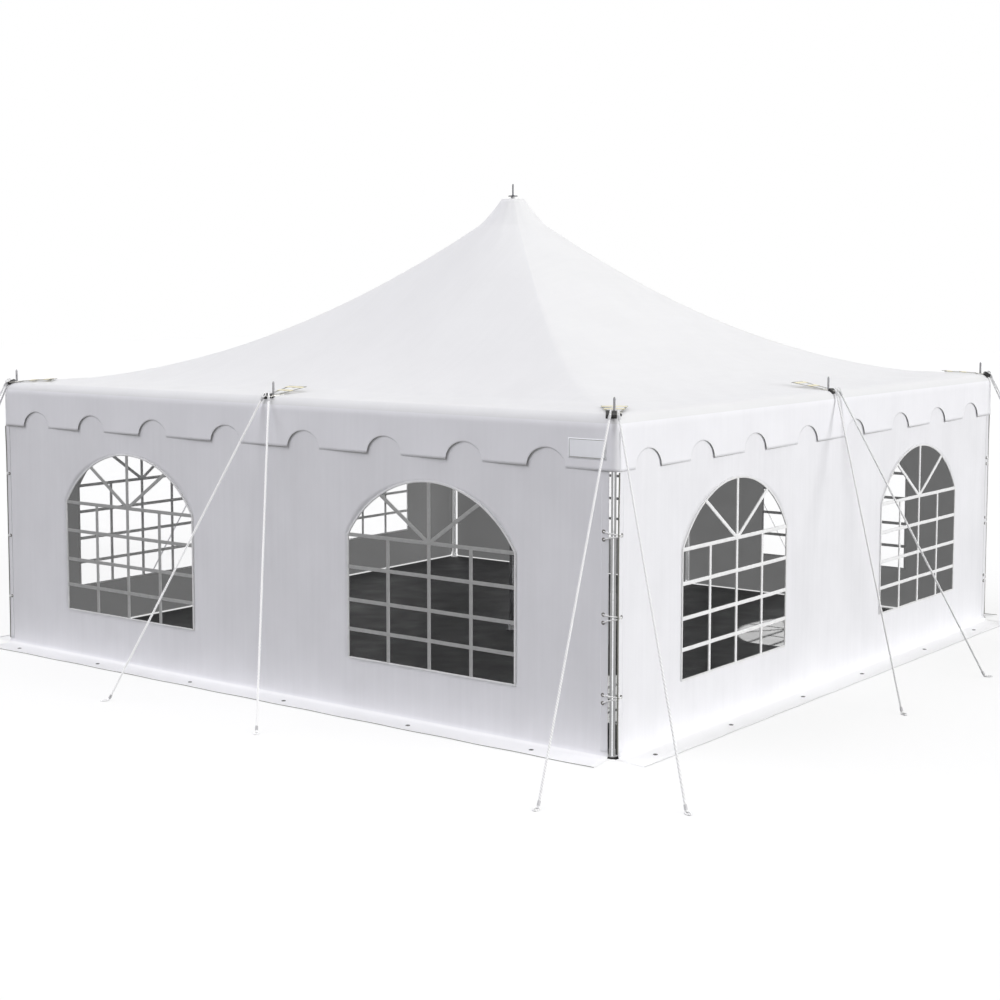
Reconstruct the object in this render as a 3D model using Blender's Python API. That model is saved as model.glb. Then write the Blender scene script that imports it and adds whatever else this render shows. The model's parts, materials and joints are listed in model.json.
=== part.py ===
"""A square marquee tent: a centre pole and eight side poles carry a roof canopy with valances,
four walls with arched windows hang under the eave, and paired guy ropes hold every pole head.

Metres, +Z up. The origin is on the ground under the centre pole. The front faces -Y.
Each side is made once in the front's frame, where X runs along the wall from left to right
as seen from outside, and is then turned by quarter turns about the centre.
"""
import math

import bmesh
import bpy
import numpy as np
from mathutils import Matrix, Vector

# Fits
GAP = 0.0003                 # between pieces that rest against each other
CLOTH = 0.003                # thickness of the coated cloth sheets

# Plan and heights of the tent
WALL_FACE = 3.045            # outer face of a wall, from the centre
EAVE_FACE = WALL_FACE + GAP + CLOTH
EAVE_TOP = 2.205             # top of the roof cloth at the eave
EAVE_FLAT = 2.98             # where the roof starts to roll over the eave
EAVE_ROLL_DROP = 0.10        # height of that roll
EAVE_SEAM = 2.095            # lower edge of the roof cloth, where the valance starts
ROOF_RISE = 1.50             # from the eave to the peak, without the cap
PEAK_TOP = 3.732             # top of the flat cap round the centre pole
CAP_RADIUS = 0.095
CAP_FOOT_REACH = 0.30        # where the cap's cone runs out into the roof

# Valance
VALANCE_BOTTOM = 1.845
NOTCH_WIDTH = 0.30
NOTCH_HEIGHT = 0.125
FRONT_NOTCH_CENTRES = (-2.62, -1.94, -1.22, -0.42, 0.37, 1.13, 1.83, 2.50)    # also the back
RIGHT_NOTCH_CENTRES = (-2.69, -2.01, -1.28, -0.49, 0.30, 1.12, 1.85, 2.55)    # also the left
NOTCH_STEPS = 8

# Walls
WALL_LEFT_END = -3.02
WALL_RIGHT_END = 2.983
WALL_BOTTOM = 0.045
WINDOW_CENTRE = 1.524        # of each window, from the middle of the wall
WINDOW_HALF_WIDTH = 0.729
WINDOW_SILL = 0.380
WINDOW_SPRING = 1.259        # where the arch starts
WINDOW_TOP = 1.679
ARCH_STEPS = 14
CUT_CLEARANCE = 0.05         # how far a cutter stands out of what it cuts, on both sides
PANE_LAP = 0.020             # of the clear pane behind the wall, round the opening
PANE = 0.0015

# Flap that the wall ends in, lying on the ground outside
FLAP_LEFT_END = -3.06
FLAP_RIGHT_END = 3.03
FLAP_REACH = 0.225
FLAP_STEPS = 6

# Ground sheet
SHEET_HALF = 3.03
SHEET = 0.002

# Side poles and their heads
POLE_LINE = 2.965            # pole axes, from the centre
POLE_RADIUS = 0.019
POLE_UPPER_RADIUS = 0.0175
POLE_JOINT = 1.06
POLE_FOOT_RADIUS = 0.035
POLE_FOOT_HEIGHT = 0.005
POLE_SLEEVE_RADIUS = 0.0215  # of the collar over the foot
POLE_SLEEVE_TOP = 0.050
POLE_NECK = 2.17
SPIGOT_RADIUS = 0.011
PIN_RADIUS = 0.006
PIN_TOP = 2.31
PIN_TIP_RADIUS = 0.003
PIN_TIP_HEIGHT = 0.003
PLATE = 0.004
PLATE_OUTER = -0.050
PLATE_INNER = 0.320
PLATE_OUTER_HALF = 0.042
PLATE_INNER_HALF = 0.085
PLATE_HOLE = 0.0075
PLATE_SEAT = 0.0005          # between the plate and the top of the cloth
EAR_REACH = 0.020
EAR_HALF = 0.010
EAR_CENTRE = 0.026           # of each ear, from the plate's middle line
CORNER_TURN = -12            # degrees that a corner plate and its ropes are turned from the diagonal
CORNER_RUN = 0.74            # share of the roof's slope that a corner plate has along its length

# Centre pole
CENTRE_RADIUS = 0.025
CENTRE_UPPER_RADIUS = 0.0235
CENTRE_JOINT = 1.90
CENTRE_FOOT_RADIUS = 0.055
CENTRE_FOOT_HEIGHT = 0.006
CENTRE_SLEEVE_RADIUS = 0.030
CENTRE_SLEEVE_TOP = 0.060
CENTRE_PIN_TOP = 3.86
CAP_DISC_RADIUS = 0.088
CAP_DISC = 0.006
CAP_DISC_CONE = 0.024        # height of the cone from the tube out to the disc
PEAK_PLATE_RADIUS = 0.040
PEAK_PLATE_TOP = 3.762
PEAK_PLATE = 0.008
PEAK_HUB_RADIUS = 0.018
TURNED_EDGE = 0.002          # height of the slanted edges of turned parts

# Guy ropes
ROPE_RADIUS = 0.006
ROPE_SEAT = 0.0005           # between a rope's upper end and its ear
CORNER_ROPE_OUT = 1.19       # of the rope's foot from its pole
CORNER_ROPE_ASIDE = 0.425
MIDDLE_ROPE_OUT = 0.98
MIDDLE_ROPE_ASIDE = 0.75

# Level lines of the roof, by how far their corners reach from the centre
ROOT2 = math.sqrt(2)
EAVE_REACH = EAVE_FLAT * ROOT2
STRAIGHT_REACH = 2.54 * ROOT2    # outside this the roof is flat towards the eave, under the head plates
ROOF_REACHES = (CAP_RADIUS, 0.19, CAP_FOOT_REACH, 0.6, 1.0, 1.45, 1.95, 2.5, 3.05, STRAIGHT_REACH, EAVE_REACH)
POINTS_PER_SIDE = 8

SIDES = ("front", "right", "back", "left")
CORNERS = ("front_right", "back_right", "back_left", "front_left")


def clear_scene():
    for old in list(bpy.data.objects):
        bpy.data.objects.remove(old, do_unlink=True)


def material(name, colour, roughness, metallic=0.0, alpha=1.0):
    finish = bpy.data.materials.new(name)
    finish.use_nodes = True
    shader = finish.node_tree.nodes["Principled BSDF"]
    shader.inputs["Base Color"].default_value = (*colour, 1.0)
    shader.inputs["Roughness"].default_value = roughness
    shader.inputs["Metallic"].default_value = metallic
    shader.inputs["Alpha"].default_value = alpha
    return finish


def place(name, mesh, finish, matrix=None, smooth=False):
    """Make an object of a mesh, with its own finish, at a place."""
    if not mesh.materials:
        mesh.materials.append(finish)
    if smooth:
        mesh.shade_smooth()
        mesh.set_sharp_from_angle(angle=math.radians(35))
    piece = bpy.data.objects.new(name, mesh)
    bpy.context.collection.objects.link(piece)
    if matrix is not None:
        piece.matrix_world = matrix
    return piece


def cutter(name, mesh, matrix=None):
    tool = bpy.data.objects.new(name, mesh)
    bpy.context.collection.objects.link(tool)
    tool.hide_render = True
    tool.display_type = "WIRE"
    if matrix is not None:
        tool.matrix_world = matrix
    return tool


def cut(piece, tool):
    step = piece.modifiers.new("cut", "BOOLEAN")
    step.operation = "DIFFERENCE"
    step.object = tool


def finish_mesh(name, shape):
    bmesh.ops.recalc_face_normals(shape, faces=shape.faces)
    mesh = bpy.data.meshes.new(name)
    shape.to_mesh(mesh)
    shape.free()
    return mesh


def prism(name, outlines, near, far):
    """Solids between two planes of constant y: each outline is a closed list of (x, z) points."""
    shape = bmesh.new()
    for outline in outlines:
        front = [shape.verts.new((x, near, z)) for x, z in outline]
        back = [shape.verts.new((x, far, z)) for x, z in outline]
        shape.faces.new(front)
        shape.faces.new(back[::-1])
        for i in range(len(outline)):
            j = (i + 1) % len(outline)
            shape.faces.new((front[i], front[j], back[j], back[i]))
    return finish_mesh(name, shape)


def turned(name, profile, sides, centres=((0.0, 0.0),)):
    """Turned solids on upright axes: the profile is a list of (radius, z) from bottom to top."""
    shape = bmesh.new()
    turns = [2 * math.pi * i / sides for i in range(sides)]
    for cx, cy in centres:
        rings = [
            [shape.verts.new((cx + r * math.cos(a), cy + r * math.sin(a), z)) for a in turns]
            for r, z in profile
        ]
        shape.faces.new(rings[0][::-1])
        shape.faces.new(rings[-1])
        for low, high in zip(rings, rings[1:]):
            for i in range(sides):
                j = (i + 1) % sides
                shape.faces.new((low[i], low[j], high[j], high[i]))
    return finish_mesh(name, shape)


def turned_ring(name, profile, sides):
    """A turned ring: the profile is a closed loop of (radius, z)."""
    shape = bmesh.new()
    turns = [2 * math.pi * i / sides for i in range(sides)]
    rings = [[shape.verts.new((r * math.cos(a), r * math.sin(a), z)) for a in turns] for r, z in profile]
    for k, low in enumerate(rings):
        high = rings[(k + 1) % len(rings)]
        for i in range(sides):
            j = (i + 1) % sides
            shape.faces.new((low[i], low[j], high[j], high[i]))
    return finish_mesh(name, shape)


def side_turn(side):
    return Matrix.Rotation(side * math.pi / 2, 4, "Z")


# Roof

def roof_height(reach):
    """Height of the roof's top on a hip: a parabola, straight near the eave, lifted near the peak by the cap."""
    if reach <= CAP_RADIUS:
        return PEAK_TOP
    parabola = EAVE_TOP + ROOF_RISE * (1 - min(reach, STRAIGHT_REACH) / EAVE_REACH) ** 2
    if reach > STRAIGHT_REACH:
        part = (EAVE_REACH - reach) / (EAVE_REACH - STRAIGHT_REACH)
        return EAVE_TOP + (parabola - EAVE_TOP) * part
    cap_lift = PEAK_TOP - EAVE_TOP - ROOF_RISE * (1 - CAP_RADIUS / EAVE_REACH) ** 2
    nearness = max(0.0, (CAP_FOOT_REACH - reach) / (CAP_FOOT_REACH - CAP_RADIUS))
    return parabola + cap_lift * nearness**1.5


def level_line(reach):
    """A level line of the roof: a circle near the peak that turns into a square towards the eave."""
    along = np.arange(-POINTS_PER_SIDE, POINTS_PER_SIDE, 2) / POINTS_PER_SIDE
    square = np.stack([along, -np.ones_like(along)], axis=1) / ROOT2
    angle = along * math.pi / 4 - math.pi / 2
    circle = np.stack([np.cos(angle), np.sin(angle)], axis=1)
    roundness = max(0.0, 1 - reach / STRAIGHT_REACH) ** 2
    side = reach * ((1 - roundness) * square + roundness * circle)
    quarter = np.array([[0.0, 1.0], [-1.0, 0.0]])
    return np.concatenate([side @ np.linalg.matrix_power(quarter, k) for k in range(4)])


def roof_mesh():
    """The roof's outer skin as rings of points, from the pin hole down to the valance seam."""
    rings = [(level_line(PIN_RADIUS + GAP), PEAK_TOP)]
    rings += [(level_line(reach), roof_height(reach)) for reach in ROOF_REACHES]
    for degrees in (30, 60, 90):
        out = EAVE_FLAT + (EAVE_FACE - EAVE_FLAT) * math.sin(math.radians(degrees))
        drop = EAVE_ROLL_DROP * (1 - math.cos(math.radians(degrees)))
        rings.append((level_line(out * ROOT2), EAVE_TOP - drop))
    rings.append((level_line(EAVE_FACE * ROOT2), EAVE_SEAM))
    count = 4 * POINTS_PER_SIDE
    points = [(x, y, z) for line, z in rings for x, y in line]
    faces = []
    for ring in range(len(rings) - 1):
        for i in range(count):
            j = (i + 1) % count
            low, high = ring * count, (ring + 1) * count
            faces.append((low + i, high + i, high + j, low + j))
    mesh = bpy.data.meshes.new("roof_canopy")
    mesh.from_pydata(points, [], faces)
    mesh.update()
    return mesh


def head_places():
    """Name, place and outward direction (degrees from +X) of each side pole."""
    places = []
    for side in range(4):
        turn = math.radians(90 * side)
        for name, x, facing in ((f"{SIDES[side]}_middle", 0.0, -90), (CORNERS[side], POLE_LINE, -45 + CORNER_TURN)):
            spot = Matrix.Rotation(turn, 2) @ Vector((x, -POLE_LINE))
            places.append((name, spot, facing + 90 * side))
    return places


def make_roof(cloth):
    roof = place("roof_canopy", roof_mesh(), cloth, smooth=True)
    shell = roof.modifiers.new("thickness", "SOLIDIFY")
    shell.thickness = CLOTH
    shell.offset = -1
    shell.use_even_offset = True
    holes = turned(
        "pin_holes",
        [(PIN_RADIUS + GAP, EAVE_TOP - CUT_CLEARANCE), (PIN_RADIUS + GAP, EAVE_TOP + CUT_CLEARANCE)],
        12,
        [tuple(spot) for _, spot, _ in head_places()],
    )
    cut(roof, cutter("pin_holes", holes))


def notched_outline(centres):
    """Outline of one valance: a strip whose lower edge has arched notches between flat tabs."""
    outline = [(-EAVE_FACE, EAVE_SEAM - GAP), (-EAVE_FACE, VALANCE_BOTTOM)]
    for centre in centres:
        for step in range(NOTCH_STEPS + 1):
            angle = math.pi * step / NOTCH_STEPS
            x = centre - NOTCH_WIDTH / 2 * math.cos(angle)
            outline.append((x, VALANCE_BOTTOM + NOTCH_HEIGHT * math.sin(angle)))
    outline += [(WALL_FACE, VALANCE_BOTTOM), (WALL_FACE, EAVE_SEAM - GAP)]
    return outline


def make_valances(cloth):
    meshes = [
        prism("valance", [notched_outline(centres)], -EAVE_FACE, -EAVE_FACE + CLOTH)
        for centres in (FRONT_NOTCH_CENTRES, RIGHT_NOTCH_CENTRES)
    ]
    for side, name in enumerate(SIDES):
        place(f"valance_{name}", meshes[side % 2], cloth, side_turn(side))


# Walls

def window_outline(centre, lap=0.0):
    """Arched opening: straight jambs up to the spring line, then one circular arc over the top."""
    half = WINDOW_HALF_WIDTH
    rise = WINDOW_TOP - WINDOW_SPRING
    radius = (half**2 + rise**2) / (2 * rise)
    middle = WINDOW_TOP - radius
    spread = math.atan2(half + lap, WINDOW_SPRING - middle)
    outline = [(centre - half - lap, WINDOW_SILL - lap), (centre + half + lap, WINDOW_SILL - lap)]
    for step in range(ARCH_STEPS + 1):
        angle = spread * (1 - 2 * step / ARCH_STEPS)
        outline.append((centre + (radius + lap) * math.sin(angle), middle + (radius + lap) * math.cos(angle)))
    return outline


def make_walls(cloth, clear):
    wall = [
        (WALL_LEFT_END, WALL_BOTTOM + GAP),
        (WALL_RIGHT_END, WALL_BOTTOM + GAP),
        (WALL_RIGHT_END, EAVE_SEAM - GAP),
        (WALL_LEFT_END, EAVE_SEAM - GAP),
    ]
    centres = (("left", -WINDOW_CENTRE), ("right", WINDOW_CENTRE))
    inner = -WALL_FACE + CLOTH
    mesh = prism("wall", [wall], -WALL_FACE, inner)
    outlines = [window_outline(x) for _, x in centres]
    openings = prism("openings", outlines, -WALL_FACE - CUT_CLEARANCE, inner + CUT_CLEARANCE)
    panes = {
        which: prism("pane", [window_outline(x, PANE_LAP)], inner + GAP, inner + GAP + PANE)
        for which, x in centres
    }
    for side, name in enumerate(SIDES):
        piece = place(f"wall_{name}", mesh, cloth, side_turn(side))
        cut(piece, cutter(f"openings_{name}", openings, side_turn(side)))
        for which, _ in centres:
            place(f"window_{name}_{which}", panes[which], clear, side_turn(side))


def flap_section():
    """Section of the flap as (outward, z): a quarter bend from the wall's foot, then flat on the ground."""
    outer_bend = WALL_BOTTOM
    inner_bend = WALL_BOTTOM - CLOTH
    middle = WALL_FACE + inner_bend
    angles = [math.pi / 2 * step / FLAP_STEPS for step in range(FLAP_STEPS + 1)]
    top = [(middle - inner_bend * math.cos(a), WALL_BOTTOM - inner_bend * math.sin(a)) for a in angles]
    bottom = [(middle - outer_bend * math.cos(a), WALL_BOTTOM - outer_bend * math.sin(a)) for a in angles]
    edge = WALL_FACE + FLAP_REACH
    return top + [(edge, CLOTH), (edge, 0.0)] + bottom[::-1]


def make_flaps(cloth):
    upright = prism("flap", [flap_section()], FLAP_LEFT_END, FLAP_RIGHT_END)
    # The section is drawn in x and z and runs along y: a quarter turn puts its outward side to -Y.
    upright.transform(Matrix.Rotation(-math.pi / 2, 4, "Z"))
    for side, name in enumerate(SIDES):
        place(f"ground_flap_{name}", upright, cloth, side_turn(side))


def make_ground_sheet(sheet):
    half = SHEET_HALF
    square = [(-half, 0.0), (half, 0.0), (half, SHEET), (-half, SHEET)]
    place("ground_sheet", prism("ground_sheet", [square], -half, half), sheet)


# Poles and fittings

def make_poles(steel):
    foot = SHEET + GAP
    roof_at_spigot = EAVE_TOP + roof_slope() * (EAVE_FLAT - POLE_LINE - SPIGOT_RADIUS)
    shoulder = roof_at_spigot - CLOTH * math.hypot(1, roof_slope()) - GAP
    side_profile = [
        (POLE_FOOT_RADIUS, foot),
        (POLE_FOOT_RADIUS, foot + POLE_FOOT_HEIGHT),
        (POLE_SLEEVE_RADIUS, foot + POLE_FOOT_HEIGHT + TURNED_EDGE),
        (POLE_SLEEVE_RADIUS, POLE_SLEEVE_TOP),
        (POLE_RADIUS, POLE_SLEEVE_TOP + TURNED_EDGE),
        (POLE_RADIUS, POLE_JOINT),
        (POLE_UPPER_RADIUS, POLE_JOINT + TURNED_EDGE),
        (POLE_UPPER_RADIUS, POLE_NECK),
        (SPIGOT_RADIUS, POLE_NECK + 0.010),
        (SPIGOT_RADIUS, shoulder),
        (PIN_RADIUS, shoulder + 0.0005),
        (PIN_RADIUS, PIN_TOP - PIN_TIP_HEIGHT),
        (PIN_TIP_RADIUS, PIN_TOP),
    ]
    mesh = turned("side_pole", side_profile, 12)
    for name, spot, _ in head_places():
        place(f"pole_{name}", mesh, steel, Matrix.Translation((*spot, 0.0)), smooth=True)
    disc_top = PEAK_TOP - CLOTH - GAP
    centre_profile = [
        (CENTRE_FOOT_RADIUS, foot),
        (CENTRE_FOOT_RADIUS, foot + CENTRE_FOOT_HEIGHT),
        (CENTRE_SLEEVE_RADIUS, foot + CENTRE_FOOT_HEIGHT + TURNED_EDGE),
        (CENTRE_SLEEVE_RADIUS, CENTRE_SLEEVE_TOP),
        (CENTRE_RADIUS, CENTRE_SLEEVE_TOP + TURNED_EDGE),
        (CENTRE_RADIUS, CENTRE_JOINT),
        (CENTRE_UPPER_RADIUS, CENTRE_JOINT + TURNED_EDGE),
        (CENTRE_UPPER_RADIUS, disc_top - CAP_DISC - CAP_DISC_CONE),
        (CAP_DISC_RADIUS, disc_top - CAP_DISC),
        (CAP_DISC_RADIUS, disc_top),
        (PIN_RADIUS, disc_top + 0.0001),
        (PIN_RADIUS, CENTRE_PIN_TOP - PIN_TIP_HEIGHT),
        (PIN_TIP_RADIUS, CENTRE_PIN_TOP),
    ]
    place("pole_centre", turned("centre_pole", centre_profile, 16), steel, smooth=True)


def roof_slope():
    """Slope of the straight outer part of the roof, square to the eave."""
    rise = roof_height(STRAIGHT_REACH) - EAVE_TOP
    return rise / (EAVE_FLAT - STRAIGHT_REACH / ROOT2)


def plate_outline():
    """Head plate seen from above: wide towards the peak, with two ears for the ropes at its outer end."""
    left = [
        (PLATE_OUTER, EAR_CENTRE - EAR_HALF),
        (PLATE_OUTER - EAR_REACH, EAR_CENTRE - EAR_HALF),
        (PLATE_OUTER - EAR_REACH, EAR_CENTRE + EAR_HALF),
        (PLATE_OUTER, EAR_CENTRE + EAR_HALF),
        (PLATE_OUTER, PLATE_OUTER_HALF),
        (PLATE_INNER, PLATE_INNER_HALF),
    ]
    return left + [(x, -y) for x, y in left[::-1]]


def head_frame(name, spot, facing):
    """Frame of a head plate: origin where the pin leaves the roof, +X towards the peak, up the roof's slope."""
    run = CORNER_RUN if name in CORNERS else 1.0
    tilt = math.atan(roof_slope() * run)
    height = EAVE_TOP + roof_slope() * (EAVE_FLAT - POLE_LINE) + PLATE_SEAT
    inward = math.radians(facing + 180)
    turn = Matrix.Rotation(inward, 4, "Z") @ Matrix.Rotation(-tilt, 4, "Y")
    return Matrix.Translation((*spot, height)) @ turn


def make_head_plates(steel):
    # The outline is drawn flat and turned so that its thickness points up.
    mesh = prism("head_plate", [plate_outline()], -PLATE, 0.0)
    mesh.transform(Matrix.Rotation(math.pi / 2, 4, "X"))
    mesh.transform(Matrix.Translation((0.0, 0.0, -min(v.co.z for v in mesh.vertices))))
    bore = turned("plate_bore", [(PLATE_HOLE, -CUT_CLEARANCE), (PLATE_HOLE, CUT_CLEARANCE)], 12)
    for name, spot, facing in head_places():
        frame = head_frame(name, spot, facing)
        plate = place(f"head_plate_{name}", mesh, steel, frame)
        cut(plate, cutter(f"bore_{name}", bore, frame))
    low = PEAK_TOP + GAP
    hub = [
        (PIN_RADIUS + GAP, low),
        (PEAK_HUB_RADIUS, low),
        (PEAK_HUB_RADIUS, PEAK_PLATE_TOP - PEAK_PLATE),
        (PEAK_PLATE_RADIUS, PEAK_PLATE_TOP - PEAK_PLATE),
        (PEAK_PLATE_RADIUS, PEAK_PLATE_TOP),
        (PIN_RADIUS + GAP, PEAK_PLATE_TOP),
    ]
    place("peak_plate", turned_ring("peak_plate", hub, 16), steel, smooth=True)


def rope_between(name, start, end, finish):
    """A straight rope from a point to a point, as a round bar with closed ends."""
    run = end - start
    mesh = turned(name, [(ROPE_RADIUS, 0.0), (ROPE_RADIUS, run.length)], 8)
    aim = run.to_track_quat("Z", "Y").to_matrix().to_4x4()
    place(name, mesh, finish, Matrix.Translation(start) @ aim, smooth=True)


def make_ropes(rope):
    """Two ropes from each plate's ears, splayed to both sides of its outward direction."""
    for name, spot, facing in head_places():
        frame = head_frame(name, spot, facing)
        outward = Vector((math.cos(math.radians(facing)), math.sin(math.radians(facing)), 0.0))
        aside = Vector((-outward.y, outward.x, 0.0))
        corner = name in CORNERS
        reach = CORNER_ROPE_OUT if corner else MIDDLE_ROPE_OUT
        splay = CORNER_ROPE_ASIDE if corner else MIDDLE_ROPE_ASIDE
        for letter, hand in (("a", -1), ("b", 1)):
            ear = frame @ Vector((PLATE_OUTER - EAR_REACH, -hand * EAR_CENTRE, PLATE / 2))
            foot = spot.to_3d() + outward * reach + aside * hand * splay
            run = (foot - ear).normalized()
            level = Vector((run.x, run.y, 0.0)).length
            slant = run @ outward
            across = math.sqrt(1 - slant**2)
            rise = ROPE_RADIUS * slant * -run.z / across
            start = ear + outward * (ROPE_RADIUS * across + ROPE_SEAT) + Vector((0.0, 0.0, rise))
            end = foot + Vector((0.0, 0.0, ROPE_RADIUS * level))
            rope_between(f"guy_rope_{name}_{letter}", start, end, rope)


def main():
    clear_scene()
    cloth = material("white_cloth", (0.86, 0.86, 0.87), 0.45)
    clear = material("clear_window", (0.85, 0.88, 0.90), 0.08, alpha=0.25)
    dark = material("ground_sheet", (0.03, 0.03, 0.03), 0.7)
    steel = material("galvanised_steel", (0.62, 0.63, 0.64), 0.3, metallic=1.0)
    rope = material("white_rope", (0.85, 0.85, 0.83), 0.8)
    make_roof(cloth)
    make_valances(cloth)
    make_walls(cloth, clear)
    make_flaps(cloth)
    make_ground_sheet(dark)
    make_poles(steel)
    make_head_plates(steel)
    make_ropes(rope)


main()
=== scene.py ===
# %% [markdown]
# Square marquee tent: the looks.
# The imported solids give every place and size. This file dresses them: coated cloth for the roof,
# valances and walls, clear film in the windows, steel poles and fittings, rope, and a dark ground
# sheet. Each shape is a function worked out on whole arrays of numbers, so it stays exact at any
# fineness and is quick to make.

# %% Load the solids
import json
import math

import bpy
import mathutils
import numpy as np
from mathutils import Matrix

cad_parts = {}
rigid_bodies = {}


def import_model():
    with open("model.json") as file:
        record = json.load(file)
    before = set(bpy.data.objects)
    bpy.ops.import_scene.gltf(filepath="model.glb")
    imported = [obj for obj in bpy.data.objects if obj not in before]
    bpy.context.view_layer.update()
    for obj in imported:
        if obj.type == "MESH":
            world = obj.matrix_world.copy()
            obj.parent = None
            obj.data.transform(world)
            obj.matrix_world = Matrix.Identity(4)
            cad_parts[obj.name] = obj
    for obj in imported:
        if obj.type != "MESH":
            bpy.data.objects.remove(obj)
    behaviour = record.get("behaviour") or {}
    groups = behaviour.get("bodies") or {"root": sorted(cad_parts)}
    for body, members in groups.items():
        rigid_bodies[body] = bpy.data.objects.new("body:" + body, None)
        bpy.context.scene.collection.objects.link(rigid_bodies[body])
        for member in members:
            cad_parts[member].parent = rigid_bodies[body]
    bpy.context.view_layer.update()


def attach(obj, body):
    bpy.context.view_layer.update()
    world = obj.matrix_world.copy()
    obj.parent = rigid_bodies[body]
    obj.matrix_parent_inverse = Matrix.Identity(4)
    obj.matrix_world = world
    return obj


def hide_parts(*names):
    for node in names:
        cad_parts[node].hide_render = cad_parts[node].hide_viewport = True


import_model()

# %% [markdown]
# The measures are the ones the solids were made with, in metres. The front wall faces -Y, and the
# other three sides are the front's, turned by quarter turns about the middle of the tent.

# %% Measures shared with the solids
SIDES = ("front", "right", "back", "left")
CORNERS = ("front_right", "back_right", "back_left", "front_left")
WALL_FACE = 3.045            # outer face of a wall, from the centre
WALL_ENDS = (-3.02, 2.983)
WALL_TOP = 2.10
WALL_FOOT = 0.045            # where the wall bends out into its ground flap
FLAP_ENDS = (-3.06, 3.03)
FLAP_REACH = 0.225
EAVE_FACE = 3.0483           # outer face of the cloth at the eave
EAVE_TOP = 2.205
EAVE_FLAT = 2.98             # where the roof starts to roll over the eave
EAVE_ROLL_DROP = 0.10
EAVE_SEAM = 2.095
VALANCE_TOP = EAVE_TOP - EAVE_ROLL_DROP
VALANCE_BOTTOM = 1.845
POLE_LINE = 2.965            # pole axes, from the centre
CLOTH = 0.0010               # real cloth, drawn a little thick so that its cut edges show
ROOT2 = math.sqrt(2)
OUT_OF_FRONT = (0.0, -1.0, 0.0)
QUARTER = np.array([[0.0, -1.0, 0.0], [1.0, 0.0, 0.0], [0.0, 0.0, 1.0]])
TURNS = np.stack([np.linalg.matrix_power(QUARTER, k) for k in range(4)])
print("wall:", round(WALL_ENDS[1] - WALL_ENDS[0], 3), "m long,", WALL_TOP, "m high")

# %% [markdown]
# The camera comes first. Its place, direction and lens were fitted to the window corners, the pole
# feet, the eave and the peak as they stand in the picture. The picture is cropped a little off its
# middle, so a small shift of the lens remains.

# %% Camera
EYE = np.array([9.1188, -12.4527, 3.0432])
YAW, PITCH, ROLL = -0.6772, -0.0906, -0.0025
FOCAL_PIXELS, PICTURE_PIXELS, SENSOR_MM = 1790.44, 1000, 36
SHIFT_X, SHIFT_Y = 0.068, -0.057


def camera_axes(yaw, pitch, roll):
    """Right, up and back vectors of a camera.

    Forward is (cos pitch * sin yaw, cos pitch * cos yaw, sin pitch), right is level, then both roll.
    """
    forward = np.array([math.cos(pitch) * math.sin(yaw), math.cos(pitch) * math.cos(yaw), math.sin(pitch)])
    level = np.array([math.cos(yaw), -math.sin(yaw), 0.0])
    rise = np.cross(level, forward)
    right = math.cos(roll) * level + math.sin(roll) * rise
    up = -math.sin(roll) * level + math.cos(roll) * rise
    return np.stack([right, up, -forward], axis=1)


lens = bpy.data.cameras.new("viewpoint")
lens.lens = FOCAL_PIXELS / PICTURE_PIXELS * SENSOR_MM
lens.shift_x, lens.shift_y = SHIFT_X, SHIFT_Y
lens.clip_end = 200.0
viewpoint = bpy.data.objects.new("viewpoint", lens)
bpy.context.collection.objects.link(viewpoint)
pose = np.eye(4)
pose[:3, :3] = camera_axes(YAW, PITCH, ROLL)
pose[:3, 3] = EYE
viewpoint.matrix_world = mathutils.Matrix(pose.tolist())
bpy.context.scene.camera = viewpoint
print("camera:", round(lens.lens, 1), "mm lens")

# %% [markdown]
# Every shape below is a pair: an array of points, and a list of face arrays that index them. The
# simplest is a grid. A closed shape is a stack of rings, with a face over each end.

# %% Grids and stacks of rings


def grid_faces(rows, columns, closed_rows=False, closed_columns=False):
    """Quads of a grid stored row by row.

    Each joins a point, the one below it, the one right of that one, and the one right of the point.
    """
    i = np.arange(rows if closed_rows else rows - 1)
    j = np.arange(columns if closed_columns else columns - 1)
    i, j = np.meshgrid(i, j, indexing="ij")
    below, beside = (i + 1) % rows, (j + 1) % columns
    quads = [i * columns + j, below * columns + j, below * columns + beside, i * columns + beside]
    return np.stack(quads, axis=-1).reshape(-1, 4)


def outward(points, faces):
    """Turn a closed shape's faces over where its signed volume, a sum of triple products, is negative."""
    volume = 0.0
    for face in faces:
        corner = points[face]
        for k in range(1, face.shape[1] - 1):
            volume += np.einsum("ij,ij->", corner[:, 0], np.cross(corner[:, k], corner[:, k + 1]))
    return points, [face[:, ::-1] if volume < 0 else face for face in faces]


def ringed(points, loop=False):
    """A closed shape from a stack of rings: the end rings are faces, or the stack closes on itself."""
    rows, count = points.shape[:2]
    ring = np.arange(count)
    ends = [] if loop else [ring[None], (rows - 1) * count + ring[::-1][None]]
    return outward(points.reshape(-1, 3), [grid_faces(rows, count, loop, True), *ends])


def at_height(plan, height):
    """Places in plan, (x, y), with a height added to each: (x, y, height)."""
    height = np.broadcast_to(height, plan.shape[:-1])
    return np.concatenate([plan, height[..., None]], axis=-1)


def circle(sides):
    """Places spread evenly round a circle of radius 1: (cos turn, sin turn)."""
    turn = np.arange(sides) * 2 * math.pi / sides
    return np.stack([np.cos(turn), np.sin(turn)], axis=1)


print("a grid of 3 by 4 points has", len(grid_faces(3, 4)), "faces")

# %% [markdown]
# Cords, bars and straps are a section carried along a path.

# %% Carried shapes


def unit(vectors):
    """Each vector divided by its length."""
    return vectors / np.linalg.norm(vectors, axis=-1, keepdims=True)


def directions(path, loop=False):
    """Unit vector along a path at each point, from the neighbours on both sides."""
    return unit(np.roll(path, -1, 0) - np.roll(path, 1, 0) if loop else np.gradient(path, axis=0))


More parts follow.
